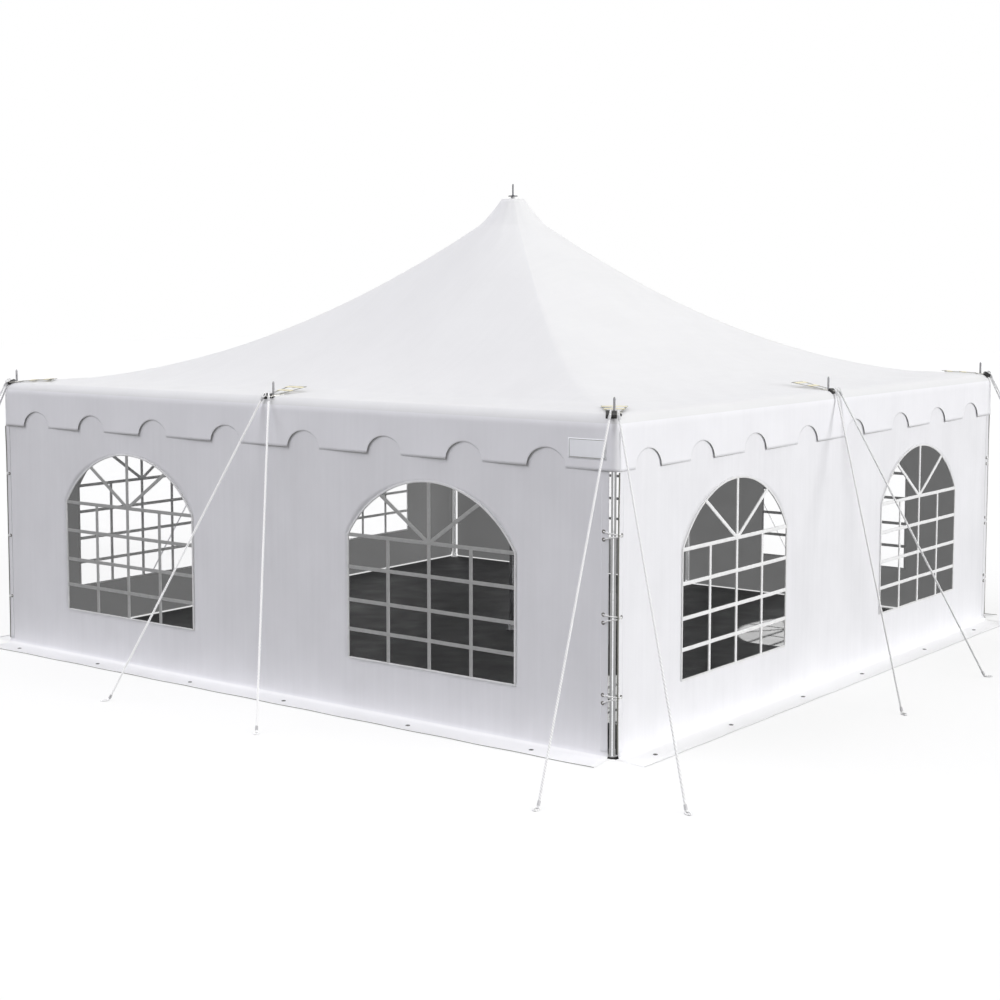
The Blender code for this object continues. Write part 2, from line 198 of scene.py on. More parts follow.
def run_along(path):
    """Distance along a path from its first point to each of its points."""
    return np.concatenate([[0], np.cumsum(np.linalg.norm(np.diff(path, axis=0), axis=1))])


def carried(path, across, up, section, loop=False):
    """A closed section carried along a path: each point is path + u * across + v * up."""
    path = np.asarray(path, float)
    across, up = (np.broadcast_to(np.asarray(v, float), path.shape) for v in (across, up))
    section = np.broadcast_to(np.asarray(section, float), (len(path), *np.shape(section)[-2:]))
    points = path[:, None] + section[..., :1] * across[:, None] + section[..., 1:] * up[:, None]
    return ringed(points, loop)


def tube(path, radius, sides=8, loop=False, reference=(0.0, 0.0, 1.0)):
    """A round section on a path, in the plane of tangent x reference and of that vector x tangent."""
    path = np.asarray(path, float)
    tangent = directions(path, loop)
    across = unit(np.cross(tangent, reference))
    size = np.broadcast_to(np.asarray(radius, float).reshape(-1, 1, 1), (len(path), 1, 1))
    return carried(path, across, np.cross(across, tangent), size * circle(sides), loop)


print("distances along a path:", run_along(np.eye(3)).round(2).tolist())

# %% [markdown]
# Round parts are a profile turned about an upright axis, and plates are an outline drawn straight up.

# %% Turned and drawn shapes


def turned(profile, sides=32):
    """A profile of (radius, height) rows turned about an upright axis and closed by a face at each end."""
    radius, height = np.asarray(profile, float).T
    return ringed(at_height(circle(sides) * radius[:, None, None], height[:, None]))


def ring_shape(inner, outer, low, high, sides):
    """A flat ring about an upright axis: a rectangle with its two upper edges cut, turned once round."""
    edge = (high - low) * 0.3
    rows = [(inner, low), (inner, high - edge), (inner + edge, high)]
    rows += [(outer - edge, high), (outer, high - edge), (outer, low)]
    radius, height = np.array(rows).T
    return ringed(at_height(circle(sides)[:, None] * radius[:, None], height), loop=True)


def block(low, high, bevel):
    """A block with cut edges: four outlines with cut corners, the end ones drawn in by the bevel."""
    low, high = np.asarray(low, float), np.asarray(high, float)
    rows = []
    for z, inset in ((low[2], bevel), (low[2] + bevel, 0.0), (high[2] - bevel, 0.0), (high[2], bevel)):
        (x0, y0), (x1, y1) = low[:2] + inset, high[:2] - inset
        outline = [(x0 + bevel, y0), (x1 - bevel, y0), (x1, y0 + bevel), (x1, y1 - bevel)]
        outline += [(x1 - bevel, y1), (x0 + bevel, y1), (x0, y1 - bevel), (x0, y0 + bevel)]
        rows.append(at_height(np.array(outline), z))
    return ringed(np.stack(rows))


def rectangle_about(half_x, half_y):
    """The four corners of a rectangle about the origin, anticlockwise."""
    return [(-half_x, -half_y), (half_x, -half_y), (half_x, half_y), (-half_x, half_y)]


def slab(outline, low, high):
    """An outline in X and Y drawn straight up from low to high."""
    outline = np.asarray(outline, float)
    return ringed(np.stack([at_height(outline, z) for z in (low, high)]))


print("a block has", sum(map(len, block((0, 0, 0), (1, 1, 1), 0.1)[1])), "faces")

# %% [markdown]
# Shapes are made once, at the origin or on the front side, and then copied, joined and moved.

# %% Copied, joined and moved shapes


def copies(shape, turns, places):
    """Every point of a shape turned by each matrix and moved to each place."""
    points, faces = shape
    spread = np.einsum("nij,pj->npi", turns, points) + np.asarray(places)[:, None]
    step = (len(points) * np.arange(len(places)))[:, None, None]
    return spread.reshape(-1, 3), [(face[None] + step).reshape(-1, face.shape[1]) for face in faces]


def joined(*shapes):
    """Several shapes as one: their points in a row, each one's faces moved past the points before it."""
    start = np.cumsum([0] + [len(points) for points, _ in shapes])
    faces = [face + start[k] for k, (_, parts) in enumerate(shapes) for face in parts]
    return np.concatenate([points for points, _ in shapes]), faces


def placed(shape, axes, spot):
    """A shape made at the origin, turned by axes and moved to a spot."""
    return shape[0] @ np.asarray(axes).T + spot, shape[1]


def on_side(shape, side):
    """A shape of the front side, turned to another side."""
    return shape[0] @ TURNS[side].T, shape[1]


print("two blocks have", len(joined(*[block((0, 0, 0), (1, 1, 1), 0.1)] * 2)[0]), "points")

# %% [markdown]
# A piece is one mesh object. Its points and faces go in as whole arrays. Cloth pieces also get a
# flat map, in metres along the cloth, so that weave and wrinkles follow the cloth round its bends.

# %% Make a piece


def make_piece(name, shapes, stands_for=(), flat=None, sharp=35):
    """One mesh object from (shape, finish) pairs; flat gives each point its place on the cloth."""
    points, faces = joined(*(shape for shape, _ in shapes))
    sizes = np.concatenate([np.full(len(face), face.shape[1]) for face in faces])
    corners = np.concatenate([face.ravel() for face in faces])
    slots = np.concatenate([np.full(sum(map(len, shape[1])), k) for k, (shape, _) in enumerate(shapes)])
    mesh = bpy.data.meshes.new(name)
    mesh.vertices.add(len(points))
    mesh.vertices.foreach_set("co", points.ravel())
    mesh.loops.add(len(corners))
    mesh.loops.foreach_set("vertex_index", corners)
    mesh.polygons.add(len(sizes))
    mesh.polygons.foreach_set("loop_start", np.concatenate([[0], np.cumsum(sizes)[:-1]]))
    mesh.polygons.foreach_set("loop_total", sizes)
    for _, finish in shapes:
        mesh.materials.append(finish)
    mesh.polygons.foreach_set("material_index", slots)
    mesh.update(calc_edges=True)
    if flat is not None:
        mesh.uv_layers.new(name="flat").data.foreach_set("uv", flat[corners].ravel())
    mesh.shade_smooth()
    mesh.set_sharp_from_angle(angle=math.radians(sharp))
    mesh.validate()
    made = bpy.data.objects.new(name, mesh)
    bpy.context.collection.objects.link(made)
    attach(made, "root")
    if stands_for:
        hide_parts(*stands_for)
    return made


def thicken(piece, thickness=CLOTH, inner=0):
    """Give a single layer its thickness inwards; the inner face may use a later material slot."""
    step = piece.modifiers.new("thickness", "SOLIDIFY")
    step.thickness = thickness
    step.offset = -1
    step.material_offset = inner
    return piece


print("pieces ride the body:", "root")

# %% [markdown]
# Finishes are node graphs. Most start the same way, so one helper adds a node, sets it up and wires
# it, and another starts a finish with its shader. Constant values go straight onto the shader. A few
# finishes glow a little, which is painted light for the daylight that reaches white things from all round.

# %% Nodes and textures
WHITE = (1.0, 1.0, 1.0, 1.0)


def add(tree, kind, settings=None, **inputs):
    """A node of a kind; an input named like i0 goes by number, and takes a value or another's output."""
    made = tree.nodes.new(kind)
    for key, value in (settings or {}).items():
        setattr(made, key, value)
    for key, value in inputs.items():
        numbered = key[0] == "i" and key[1:].isdigit()
        socket = made.inputs[int(key[1:])] if numbered else made.inputs[key.replace("_", " ")]
        if isinstance(value, bpy.types.NodeSocket):
            tree.links.new(value, socket)
        else:
            socket.default_value = value
    return made


def start_finish(name, glow=0.0, **constants):
    """A new material, its node tree and its shader, with constant shader values and maybe an even glow, which
    is painted light.
    """
    finish = bpy.data.materials.new(name)
    finish.use_nodes = True
    shader = finish.node_tree.nodes["Principled BSDF"]
    if glow:
        constants |= {"Emission_Color": WHITE, "Emission_Strength": glow}
    for key, value in constants.items():
        shader.inputs[key.replace("_", " ")].default_value = value
    return finish, finish.node_tree, shader


def object_place(tree):
    """Places on the piece itself, in metres."""
    return add(tree, "ShaderNodeTexCoord").outputs["Object"]


def flat_map(tree):
    """Places on the flat cloth, in metres."""
    return add(tree, "ShaderNodeUVMap", {"uv_map": "flat"}).outputs["UV"]


def noise(tree, vector, stretch=(1.0, 1.0, 1.0), size=1.0, detail=3.0):
    """Noise on a stretched vector; size is how many lumps fit in a metre."""
    scaled = add(tree, "ShaderNodeVectorMath", {"operation": "MULTIPLY"}, i0=vector, i1=stretch)
    lumps = add(tree, "ShaderNodeTexNoise", Vector=scaled.outputs[0], Scale=size, Detail=detail)
    return lumps.outputs["Fac"]


def bands(tree, vector, direction, pitch):
    """Soft parallel ribs, one every pitch metres: the node makes 20 / (2 pi) ribs a metre at scale 1."""
    settings = {"wave_type": "BANDS", "bands_direction": direction}
    scale = 2 * math.pi / 20 / pitch
    return add(tree, "ShaderNodeTexWave", settings, Vector=vector, Scale=scale).outputs["Fac"]


def mixed(tree, first, second, share=0.5):
    """Two heights mixed: first * (1 - share) + second * share."""
    made = add(tree, "ShaderNodeMix", {"data_type": "FLOAT"}, i0=share, i2=first, i3=second)
    return made.outputs[0]


print("glow colour:", WHITE)

# %% [markdown]
# What a texture does is wired by three more helpers: it picks a colour, a roughness, or a height that
# tilts the surface in the light.

# %% What the textures drive


def ramp(tree, factor, stops):
    """A colour ramp: stops are (place, colour) pairs."""
    made = add(tree, "ShaderNodeValToRGB", i0=factor)
    bar = made.color_ramp.elements
    while len(bar) < len(stops):
        bar.new(0.5)
    for element, (place, colour) in zip(bar, stops):
        element.position = place
        element.color = (*colour, 1.0)
    return made.outputs["Color"]


def drive(tree, shader, socket, factor, first, last, places=(0.3, 0.7)):
    """Wire a ramp to a shader input: from the first value to the last between two places of the factor."""
    colours = [value if isinstance(value, tuple) else (value,) * 3 for value in (first, last)]
    tree.links.new(ramp(tree, factor, list(zip(places, colours))), shader.inputs[socket])


def raise_bumps(tree, shader, layers):
    """Bump nodes in a chain: each layer is (height from 0 to 1, metres)."""
    last = None
    for height, metres in layers:
        made = add(tree, "ShaderNodeBump", Height=height, Distance=metres, Strength=1.0)
        if last is not None:
            tree.links.new(last, made.inputs["Normal"])
        last = made.outputs["Normal"]
    tree.links.new(last, shader.inputs["Normal"])


print("finishes so far:", len(bpy.data.materials))

# %% [markdown]
# The tent's cloth is woven plastic tape with a smooth coating on both sides. Close up it shows a fine
# square weave; from further away, faint upright streaks where it was folded and pulled, and slow
# buckles. All three are bumps here, on the flat map, and the colour varies by one to three
# hundredths. The inner face is painted grey, which is painted shade for the dim inside, and its even
# glow is painted light for the little daylight that comes through. The roof cloth is painted a little
# darker than the walls, which is painted shade, and the flaps paler, which is painted light.

# %% Coated cloth
WEAVE_PITCH, WEAVE_HEIGHT = 0.0024, 0.00012


def coated_cloth(name, colour, roughness=0.50, streaks=0.0006, buckles=0.004, shade=0.02, glow=0.0):
    """White cloth: weave, upright streaks and slow buckles as bumps, with a faint change of tone."""
    constants = {"Sheen_Weight": 0.05, "Sheen_Roughness": 0.4, "Specular_IOR_Level": 0.35}
    finish, tree, shader = start_finish(name, glow, **constants)
    flat = flat_map(tree)
    slow_tone = noise(tree, flat, (1.0, 0.7, 1.0), 2.6, 4.0)
    fine_tone = noise(tree, flat, (26.0, 1.1, 1.0), 1.0, 4.0)
    pale = tuple(min(c * (1 + shade), 1.0) for c in colour)
    dull = tuple(c * (1 - shade) for c in colour)
    drive(tree, shader, "Base Color", mixed(tree, slow_tone, fine_tone, 0.35), dull, pale, (0.38, 0.62))
    drive(tree, shader, "Roughness", noise(tree, flat, size=9.0), roughness - 0.05, roughness + 0.07)
    weave = mixed(tree, *(bands(tree, flat, direction, WEAVE_PITCH) for direction in "XY"))
    upright = noise(tree, flat, (38.0, 2.2, 1.0), 1.0, 4.0)
    slow = noise(tree, flat, (1.6, 0.7, 1.0), 1.0, 2.0)
    raise_bumps(tree, shader, [(slow, buckles), (upright, streaks), (weave, WEAVE_HEIGHT)])
    return finish


# painted light: the flaps are paler than the wall cloth they are part of
FLAP_PAINTED_LIGHT_WHITE = (0.91, 0.91, 0.915)
# painted shade: the roof cloth is a little darker than the wall cloth
roof_cloth = coated_cloth("roof_cloth_white", (0.752, 0.752, 0.759), 0.50, 0.0004, 0.003, 0.012)
wall_cloth = coated_cloth("wall_cloth_white", (0.80, 0.798, 0.822), 0.50, 0.0005, shade=0.028)
flap_painted_light = coated_cloth("flap_white_painted_light", FLAP_PAINTED_LIGHT_WHITE, 0.50, 0.0004, shade=0.01)
# painted light: the right and left flaps also glow
flap_painted_glow = coated_cloth("flap_white_painted_glow", FLAP_PAINTED_LIGHT_WHITE, 0.50, 0.0004, shade=0.01, glow=0.09)
valance_cloth = coated_cloth("valance_cloth_white", (0.83, 0.828, 0.855), 0.50, 0.0003, 0.002)
# painted shade and painted light: the grey stands for the dim inside, the glow for daylight coming through
inner_shade_and_glow = coated_cloth("inner_grey_painted_shade_and_glow", (0.13, 0.13, 0.13), 0.70, glow=0.108)
# painted light: the patch glows a little
patch_painted_glow = coated_cloth("patch_painted_glow", (0.86, 0.87, 0.90), 0.42, 0.0002, 0.001, glow=0.05)
print("finishes so far:", len(bpy.data.materials))

# %% [markdown]
# The windows are clear plastic film. It is nearly invisible, but it carries a soft gloss and a faint
# haze, stronger where the film has been rubbed and folded.

# %% Clear film


def film():
    """Clear film: almost no cover, more in drawn-out patches of haze, with rubbed gloss and slow waves."""
    constants = {"Base_Color": (0.90, 0.93, 0.95, 1.0), "Specular_IOR_Level": 0.5}
    finish, tree, shader = start_finish("clear_film", **constants)
    flat = flat_map(tree)
    drive(tree, shader, "Alpha", noise(tree, flat, (2.0, 5.0, 1.0), 2.0, 4.0), 0.012, 0.030, (0.35, 0.8))
    drive(tree, shader, "Roughness", noise(tree, flat, (3.0, 1.0, 1.0), 3.0), 0.05, 0.16)
    raise_bumps(tree, shader, [(noise(tree, flat, (3.0, 0.8, 1.0), 2.0, 2.0), 0.003)])
    return finish


clear_film = film()
print("film:", clear_film.name)

# %% [markdown]
# The poles are plated steel tube: smooth enough to show the white ground and the dark inside as
# bands, with a cloudy tone drawn out along the tube. The side poles glow a little, which is painted
# light, and the centre pole, deep inside, is painted darker, which is painted shade. The head plates
# are duller, and the eyelets are dark nickel.

# %% Metals
ALONG_TUBE, EVEN = (1.0, 1.0, 0.3), (1.0, 1.0, 1.0)


def metal(name, dark, light, roughness, stretch, grain, glow=0.0):
    """Metal with a cloudy, drawn-out tone, a roughness that varies with it, and hair-fine scratches."""
    finish, tree, shader = start_finish(name, glow, Metallic=1.0)
    place = object_place(tree)
    drive(tree, shader, "Base Color", noise(tree, place, stretch, grain, 4.0), dark, light)
    wear = noise(tree, place, stretch, grain * 2.5)
    drive(tree, shader, "Roughness", wear, roughness * 0.8, roughness * 1.25)
    raise_bumps(tree, shader, [(noise(tree, place, (1.0, 1.0, 0.05), 700.0, 2.0), 0.00001)])
    return finish


# painted light: the side poles glow
plated_steel_painted_glow = metal("plated_side_tube_painted_glow", (0.74, 0.75, 0.77), (0.88, 0.89, 0.90), 0.20, ALONG_TUBE, 40.0, 0.20)
# painted shade: the centre pole is the same steel, painted darker
deep_pole_steel_painted_shade = metal("centre_tube", (0.24, 0.24, 0.25), (0.42, 0.42, 0.43), 0.18, ALONG_TUBE, 40.0)
zinc_plate = metal("zinc_plate", (0.52, 0.51, 0.48), (0.68, 0.67, 0.63), 0.28, EVEN, 45.0)
peak_steel = metal("dull_peak_steel", (0.05, 0.05, 0.055), (0.11, 0.11, 0.12), 0.40, EVEN, 60.0)
nickel = metal("eyelet_nickel", (0.10, 0.095, 0.09), (0.22, 0.21, 0.20), 0.34, EVEN, 90.0)
pin_steel = metal("worn_pin_steel", (0.20, 0.20, 0.21), (0.34, 0.34, 0.35), 0.30, (1.0, 1.0, 0.4), 60.0)
print("finishes so far:", len(bpy.data.materials))

# %% [markdown]
# The small parts have moulded plastic with a fine grain, yellow strap webbing with a rib every few
# millimetres, rope fibre, and painted shade inside the holes. The window bars are painted a little
# brighter on the right and left sides than on the front and back, which is painted light and shade,
# and the ropes at the front's and the back's middle glow a little, which is painted light. The ribs'
# grooves are painted darker, which is painted shade.

# %% Plastic and fibre


def moulded(name, shade, roughness, grain):
    """Moulded plastic: a fine leathery grain from noise, and a slight change of tone."""
    finish, tree, shader = start_finish(name, Specular_IOR_Level=0.4)
    place = object_place(tree)
    light = tuple(min(c * 1.3, c + 0.08) for c in shade)
    drive(tree, shader, "Base Color", noise(tree, place, size=25.0), shade, light)
    drive(tree, shader, "Roughness", noise(tree, place, size=60.0), roughness * 0.85, roughness * 1.15)
    raise_bumps(tree, shader, [(noise(tree, place, size=grain), 0.0002)])
    return finish


def fibre(name, colour, roughness, rib, glow=0.0):
    """Textile fibre: fine noise for the strands and a regular rib, with painted shade in its grooves."""
    constants = {"Sheen_Weight": 0.2, "Sheen_Roughness": 0.5, "Specular_IOR_Level": 0.2}
    finish, tree, shader = start_finish(name, glow, **constants)
    place = object_place(tree)
    ribs = bands(tree, place, "DIAGONAL", rib)
    strands = noise(tree, place, size=700.0)
    # painted shade: the rib's grooves are darker
    drive(tree, shader, "Base Color", ribs, tuple(c * 0.80 for c in colour), colour, (0.1, 0.6))
    drive(tree, shader, "Roughness", strands, roughness - 0.08, roughness + 0.08)
    raise_bumps(tree, shader, [(ribs, 0.0006), (strands, 0.0003)])
    return finish


ROPE_WHITE = (0.93, 0.93, 0.93)
# painted shade and painted light: the bars are darker on the front and back, brighter on the right and left
bar_white = moulded("welded_white_bar", (0.66, 0.66, 0.66), 0.45, 90.0)
side_bars_painted_light = moulded("welded_bar_painted_light", (0.78, 0.78, 0.78), 0.45, 90.0)
border_white = moulded("welded_white_border", (0.70, 0.70, 0.70), 0.45, 90.0)
black_plastic = moulded("black_clamp_plastic", (0.014, 0.013, 0.013), 0.42, 500.0)
# painted shade: the dark inside of holes
hole_painted_shade = moulded("painted_shade_inside_holes", (0.03, 0.03, 0.032), 0.8, 300.0)
webbing = fibre("yellow_webbing", (0.86, 0.80, 0.56), 0.65, 0.006)
rope_fibre = fibre("white_rope_fibre", ROPE_WHITE, 0.75, 0.011)
# painted light: this rope finish glows
middle_rope_painted_glow = fibre("white_rope_painted_glow", ROPE_WHITE, 0.75, 0.011, 0.20)
lace_fibre = fibre("white_lace_fibre", (0.93, 0.93, 0.92), 0.70, 0.005)
# also painted shadow and shade: the cord under the tabs, the cord at each wall's left end, and the front and
# back flap piping
strap_and_shadow_grey = fibre("grey_webbing_and_painted_shadow", (0.24, 0.24, 0.21), 0.60, 0.005)
thread = fibre("white_thread", (0.74, 0.74, 0.75), 0.60, 0.002)
print("finishes so far:", len(bpy.data.materials))

# %% [markdown]
# The ground sheet is black woven tape. It is coarser than the tent's cloth, with slow buckles and
# paler scuffs where feet pass.

# %% Dark sheet


def dark_sheet():
    """Black tape weave at 4 mm, slow buckles, and scuffs that lift the tone a little."""
    finish, tree, shader = start_finish("dark_ground_sheet", Specular_IOR_Level=0.35)
    flat = flat_map(tree)
    scuffs = noise(tree, flat, size=1.1, detail=6.0)
    drive(tree, shader, "Base Color", scuffs, 0.022, 0.036, (0.35, 0.75))
    drive(tree, shader, "Roughness", noise(tree, flat, size=3.0), 0.45, 0.65)
    weave = mixed(tree, *(bands(tree, flat, direction, 0.004) for direction in "XY"))
    raise_bumps(tree, shader, [(noise(tree, flat, size=1.4, detail=2.0), 0.008), (weave, 0.0003)])
    return finish


ground_finish = dark_sheet()
print("finishes:", len(bpy.data.materials))

# %% [markdown]
# The roof is one continuous sheet, stretched over the centre pole and the eight side poles. Near the
# peak its level lines are round, and towards the eave they become square. It falls steeply at first
# and then levels out, so a parabola gives the height.

# %% Height and level lines of the roof
ROOF_RISE, PEAK_TOP = 1.50, 3.732
CAP_RADIUS, CAP_FOOT_REACH = 0.095, 0.30
STRAIGHT_FROM = 2.54          # outside this the roof runs straight down to the eave
EAVE_REACH, STRAIGHT_REACH = EAVE_FLAT * ROOT2, STRAIGHT_FROM * ROOT2
CORNER_RADIUS = 0.055
CORNER_STARTS = 0.978         # of half a side, where the columns come closer together
corner_places = np.linspace(CORNER_STARTS, 1, 9)
ALONG = np.concatenate(
    [-corner_places[::-1], np.linspace(-CORNER_STARTS, CORNER_STARTS, 62)[1:-1], corner_places[:-1]]
)


def smooth(x, low, high):
    """0 below low, 1 above high, and 3t^2 - 2t^3 in between."""
    t = np.clip((x - low) / (high - low), 0, 1)
    return t * t * (3 - 2 * t)


def roof_height(reach):
    """Height at a distance along the hip: a parabola, straight over the last part, lifted near the cap."""
    reach = np.asarray(reach, float)
    parabola = ROOF_RISE * (1 - np.minimum(reach, STRAIGHT_REACH) / EAVE_REACH) ** 2
    last = np.clip((EAVE_REACH - reach) / (EAVE_REACH - STRAIGHT_REACH), 0, 1)
    lift = PEAK_TOP - EAVE_TOP - ROOF_RISE * (1 - CAP_RADIUS / EAVE_REACH) ** 2
    near = np.clip((CAP_FOOT_REACH - reach) / (CAP_FOOT_REACH - CAP_RADIUS), 0, None) ** 1.5
    return np.where(reach <= CAP_RADIUS, PEAK_TOP, EAVE_TOP + parabola * last + lift * near)


def rounded(side, half, radius):
    """Points on a square's side, each corner drawn in to an arc: turn = 45 degrees * overlap there."""
    x = side[..., 0]
    over = np.clip((np.abs(x) - (half - radius)) / radius, 0, 1)
    turn = over * math.pi / 4
    new_x = np.sign(x) * (half - radius + radius * np.sin(turn))
    new_y = -(half - radius) - radius * np.cos(turn)
    return np.where((over > 0)[..., None], np.stack([new_x, new_y], axis=-1), side)


def level_lines(reach):
    """Level lines at each reach: square and circle mixed by (1 - reach / straight reach) squared."""
    reach = np.asarray(reach, float)[:, None, None]
    square = np.stack([ALONG, -np.ones(len(ALONG))], axis=1) / ROOT2
    angle = (ALONG / 2 - 1) * math.pi / 2
    round_line = np.stack([np.cos(angle), np.sin(angle)], axis=1)
    roundness = np.clip(1 - reach / STRAIGHT_REACH, 0, None) ** 2
    radius = CORNER_RADIUS * np.clip((reach[..., 0] - 0.9) / 1.5, 0.001, 1)
    edge = rounded(reach * square, reach[..., 0] / ROOT2, radius)
    side = (1 - roundness) * edge + roundness * reach * round_line
    return np.concatenate([side @ TURNS[k][:2, :2].T for k in range(4)], axis=1)


print("roof: slope ends at", round(float(roof_height(STRAIGHT_REACH)), 3), "m, eave at", EAVE_TOP, "m")

# %% [markdown]
# The sheet is a grid: one row for each level line, from the hole at the peak to the seam under the
# eave, and the same number of columns on every side. Small folds run out from the peak, where the
# cloth is gathered, and each field between two poles hangs a few millimetres. The flat map uses the
# same level lines, but at the distance measured along the cloth, so the weave isn't squeezed where
# the cloth is steep.

# %% Rows and folds of the canopy
ROLL_TURNS = np.radians(np.arange(4, 81, 4))     # the roof ends there, just behind the valance
PEAK_REACHES = (0.012, 0.05)                     # the hole for the pin, and the flat cap
TUCKS = np.array([0.0022, 0.0016, 0.0014])       # how far the last rows lie behind the valance
TUCK_HEIGHTS = (2.118, 2.110, EAVE_SEAM)
PLEAT_HEIGHT, PLEATS, PLEAT_REACH, PLEAT_SPREAD = 0.0016, 16, 0.42, 0.30
RIPPLE_HEIGHT, RIPPLES = 0.0030, 11
FIELD_SAG = 0.016
PULL_HEIGHT, PULL_PITCH = 0.004, 0.46


def roof_rows():
    """Reach and height of each row: down the slope, round the quarter roll of the eave, and to the seam."""
    cap = np.linspace(CAP_RADIUS, CAP_FOOT_REACH, 14)
    slope = np.concatenate([PEAK_REACHES, cap, np.linspace(CAP_FOOT_REACH, EAVE_REACH, 64)[1:]])
    roll = EAVE_FLAT + (EAVE_FACE - EAVE_FLAT) * np.sin(ROLL_TURNS)
    reach = np.concatenate([slope, roll * ROOT2, (EAVE_FACE - TUCKS) * ROOT2])
    roll_height = EAVE_TOP - EAVE_ROLL_DROP * (1 - np.cos(ROLL_TURNS))
    return reach, np.concatenate([roof_height(slope), roll_height, TUCK_HEIGHTS])


def roof_folds(points, reach):
    """Height added to the slope: pleats at the peak, ripples, a sag between poles, and pull lines."""
    x, y = points[..., 0], points[..., 1]
    angle = np.arctan2(y, x)
    reach = reach[:, None]
    near_peak = np.exp(-(((reach - PLEAT_REACH) / PLEAT_SPREAD) ** 2))
    pleats = PLEAT_HEIGHT * np.cos(PLEATS * angle + 0.8) * near_peak
    ring = smooth(reach, 0.5, 1.0) * (1 - smooth(reach, 1.4, 2.6))
    ripple = RIPPLE_HEIGHT * np.cos(RIPPLES * angle + 2.0) * ring
    across = np.minimum(np.abs(x), np.abs(y))
    edge = np.maximum(np.abs(x), np.abs(y))
    between = np.sin(np.pi * np.clip(across / np.maximum(edge, 0.01), 0, 1)) ** 2
    sag = -FIELD_SAG * between * smooth(reach, 0.8, 3.4)
    pull = PULL_HEIGHT * np.cos(2 * np.pi * (edge - across) / PULL_PITCH) * between * smooth(edge, 1.9, 2.6)
    return (pleats + ripple + sag + pull) * (1 - smooth(reach, EAVE_REACH - 0.25, EAVE_REACH))


roof_reach, roof_level = roof_rows()
print("canopy rows:", len(roof_reach), "columns:", 4 * len(ALONG))

# %% [markdown]
# The flat map is laid out by the run along the cloth from the peak, taken through the middle of a side,
# which is half of the flat sheet's length.

# %% Roof canopy
REACH_OVER_RUN = 1.2          # reach is measured along the hip, which is longer than the way down a side
roof_plan = level_lines(roof_reach)
roof_points = at_height(roof_plan, roof_level[:, None] + roof_folds(roof_plan, roof_reach))
steps_down = np.hypot(np.diff(roof_reach) / REACH_OVER_RUN, np.diff(roof_level))
cloth_run = roof_reach[0] + np.concatenate([[0], np.cumsum(steps_down)])
roof_flat = level_lines(cloth_run).reshape(-1, 2)
roof_shape = roof_points.reshape(-1, 3), [grid_faces(len(roof_reach), 4 * len(ALONG), closed_columns=True)]
canopy = make_piece("canopy_sheet", [(roof_shape, roof_cloth)], ("roof_canopy",), roof_flat, 60)
canopy.data.materials.append(inner_shade_and_glow)
thicken(canopy, inner=1)

# %% [markdown]
# The valance is one band round the tent. It takes over where the eave has turned down, so no seam
# shows, and it goes round each corner in a small arc. Its lower edge is cut into tabs by arched
# notches. Each tab leans out from the wall more at one end, which is where the picture shows a darker
# line under it. The grid has one column for each place along the band, closer together in a notch.

# %% Edge and lean of the valance
NOTCH_WIDTH, NOTCH_HEIGHT = 0.30, 0.125
NOTCH_STEPS, TAB_STEPS, CORNER_STEPS = 22, 15, 12
FRONT_NOTCHES = np.array([-2.62, -1.94, -1.22, -0.42, 0.37, 1.13, 1.83, 2.50])
RIGHT_NOTCHES = np.array([-2.69, -2.01, -1.28, -0.49, 0.30, 1.12, 1.85, 2.55])
NOTCHES = (FRONT_NOTCHES, RIGHT_NOTCHES, FRONT_NOTCHES, RIGHT_NOTCHES)
STRAIGHT_END = EAVE_FACE - CORNER_RADIUS
TAB_OVERHANG = 0.35          # the end tabs' lean runs on past the corner as if they were this much longer
TAB_LEAN, LEAST_LEAN = 0.0105, 0.0013
HANG_POWER = 1.3             # the band leaves the eave's face slowly and then faster


def notched_edge(centres):
    """Places along one side and the lower edge there: half ellipses at the notches, level in between."""
    turn, half = np.linspace(0, math.pi, NOTCH_STEPS + 1)[:-1], NOTCH_WIDTH / 2
    along, edge = [], []
    start = -STRAIGHT_END
    for centre in centres:
        along += [np.linspace(start, centre - half, TAB_STEPS + 1)[:-1], centre - half * np.cos(turn)]
        edge += [np.full(TAB_STEPS, VALANCE_BOTTOM), VALANCE_BOTTOM + NOTCH_HEIGHT * np.sin(turn)]
        start = centre + half
    along.append(np.linspace(start, STRAIGHT_END, TAB_STEPS + 1))
    edge.append(np.full(TAB_STEPS + 1, VALANCE_BOTTOM))
    return np.concatenate(along), np.concatenate(edge)


def tab_lean(along, centres, hand):
    """How far a tab's edge hangs from the wall.

    It is least over the tab's first fifth and most at about four fifths, and falls again at its very end.
    """
    ends = np.concatenate([[-EAVE_FACE - TAB_OVERHANG], centres, [EAVE_FACE + TAB_OVERHANG]])
    which = np.clip(np.searchsorted(ends, along) - 1, 0, len(ends) - 2)
    share = (along - ends[which]) / (ends[which + 1] - ends[which])
    share = share if hand > 0 else 1 - share
    return LEAST_LEAN + TAB_LEAN * smooth(share, 0.22, 0.80) ** 0.8 * (1 - smooth(share, 0.92, 1.0))


def hang_share(height):
    """0 at the top of the valance's straight drop, 1 at its lower edge."""
    return np.clip((VALANCE_TOP - height) / (VALANCE_TOP - VALANCE_BOTTOM), 0, 1)


def hang_out(lean, height):
    """How far the band's face stands out of the eave's face: its full lean * share ^ power."""
    return (WALL_FACE + lean - EAVE_FACE) * hang_share(height) ** HANG_POWER


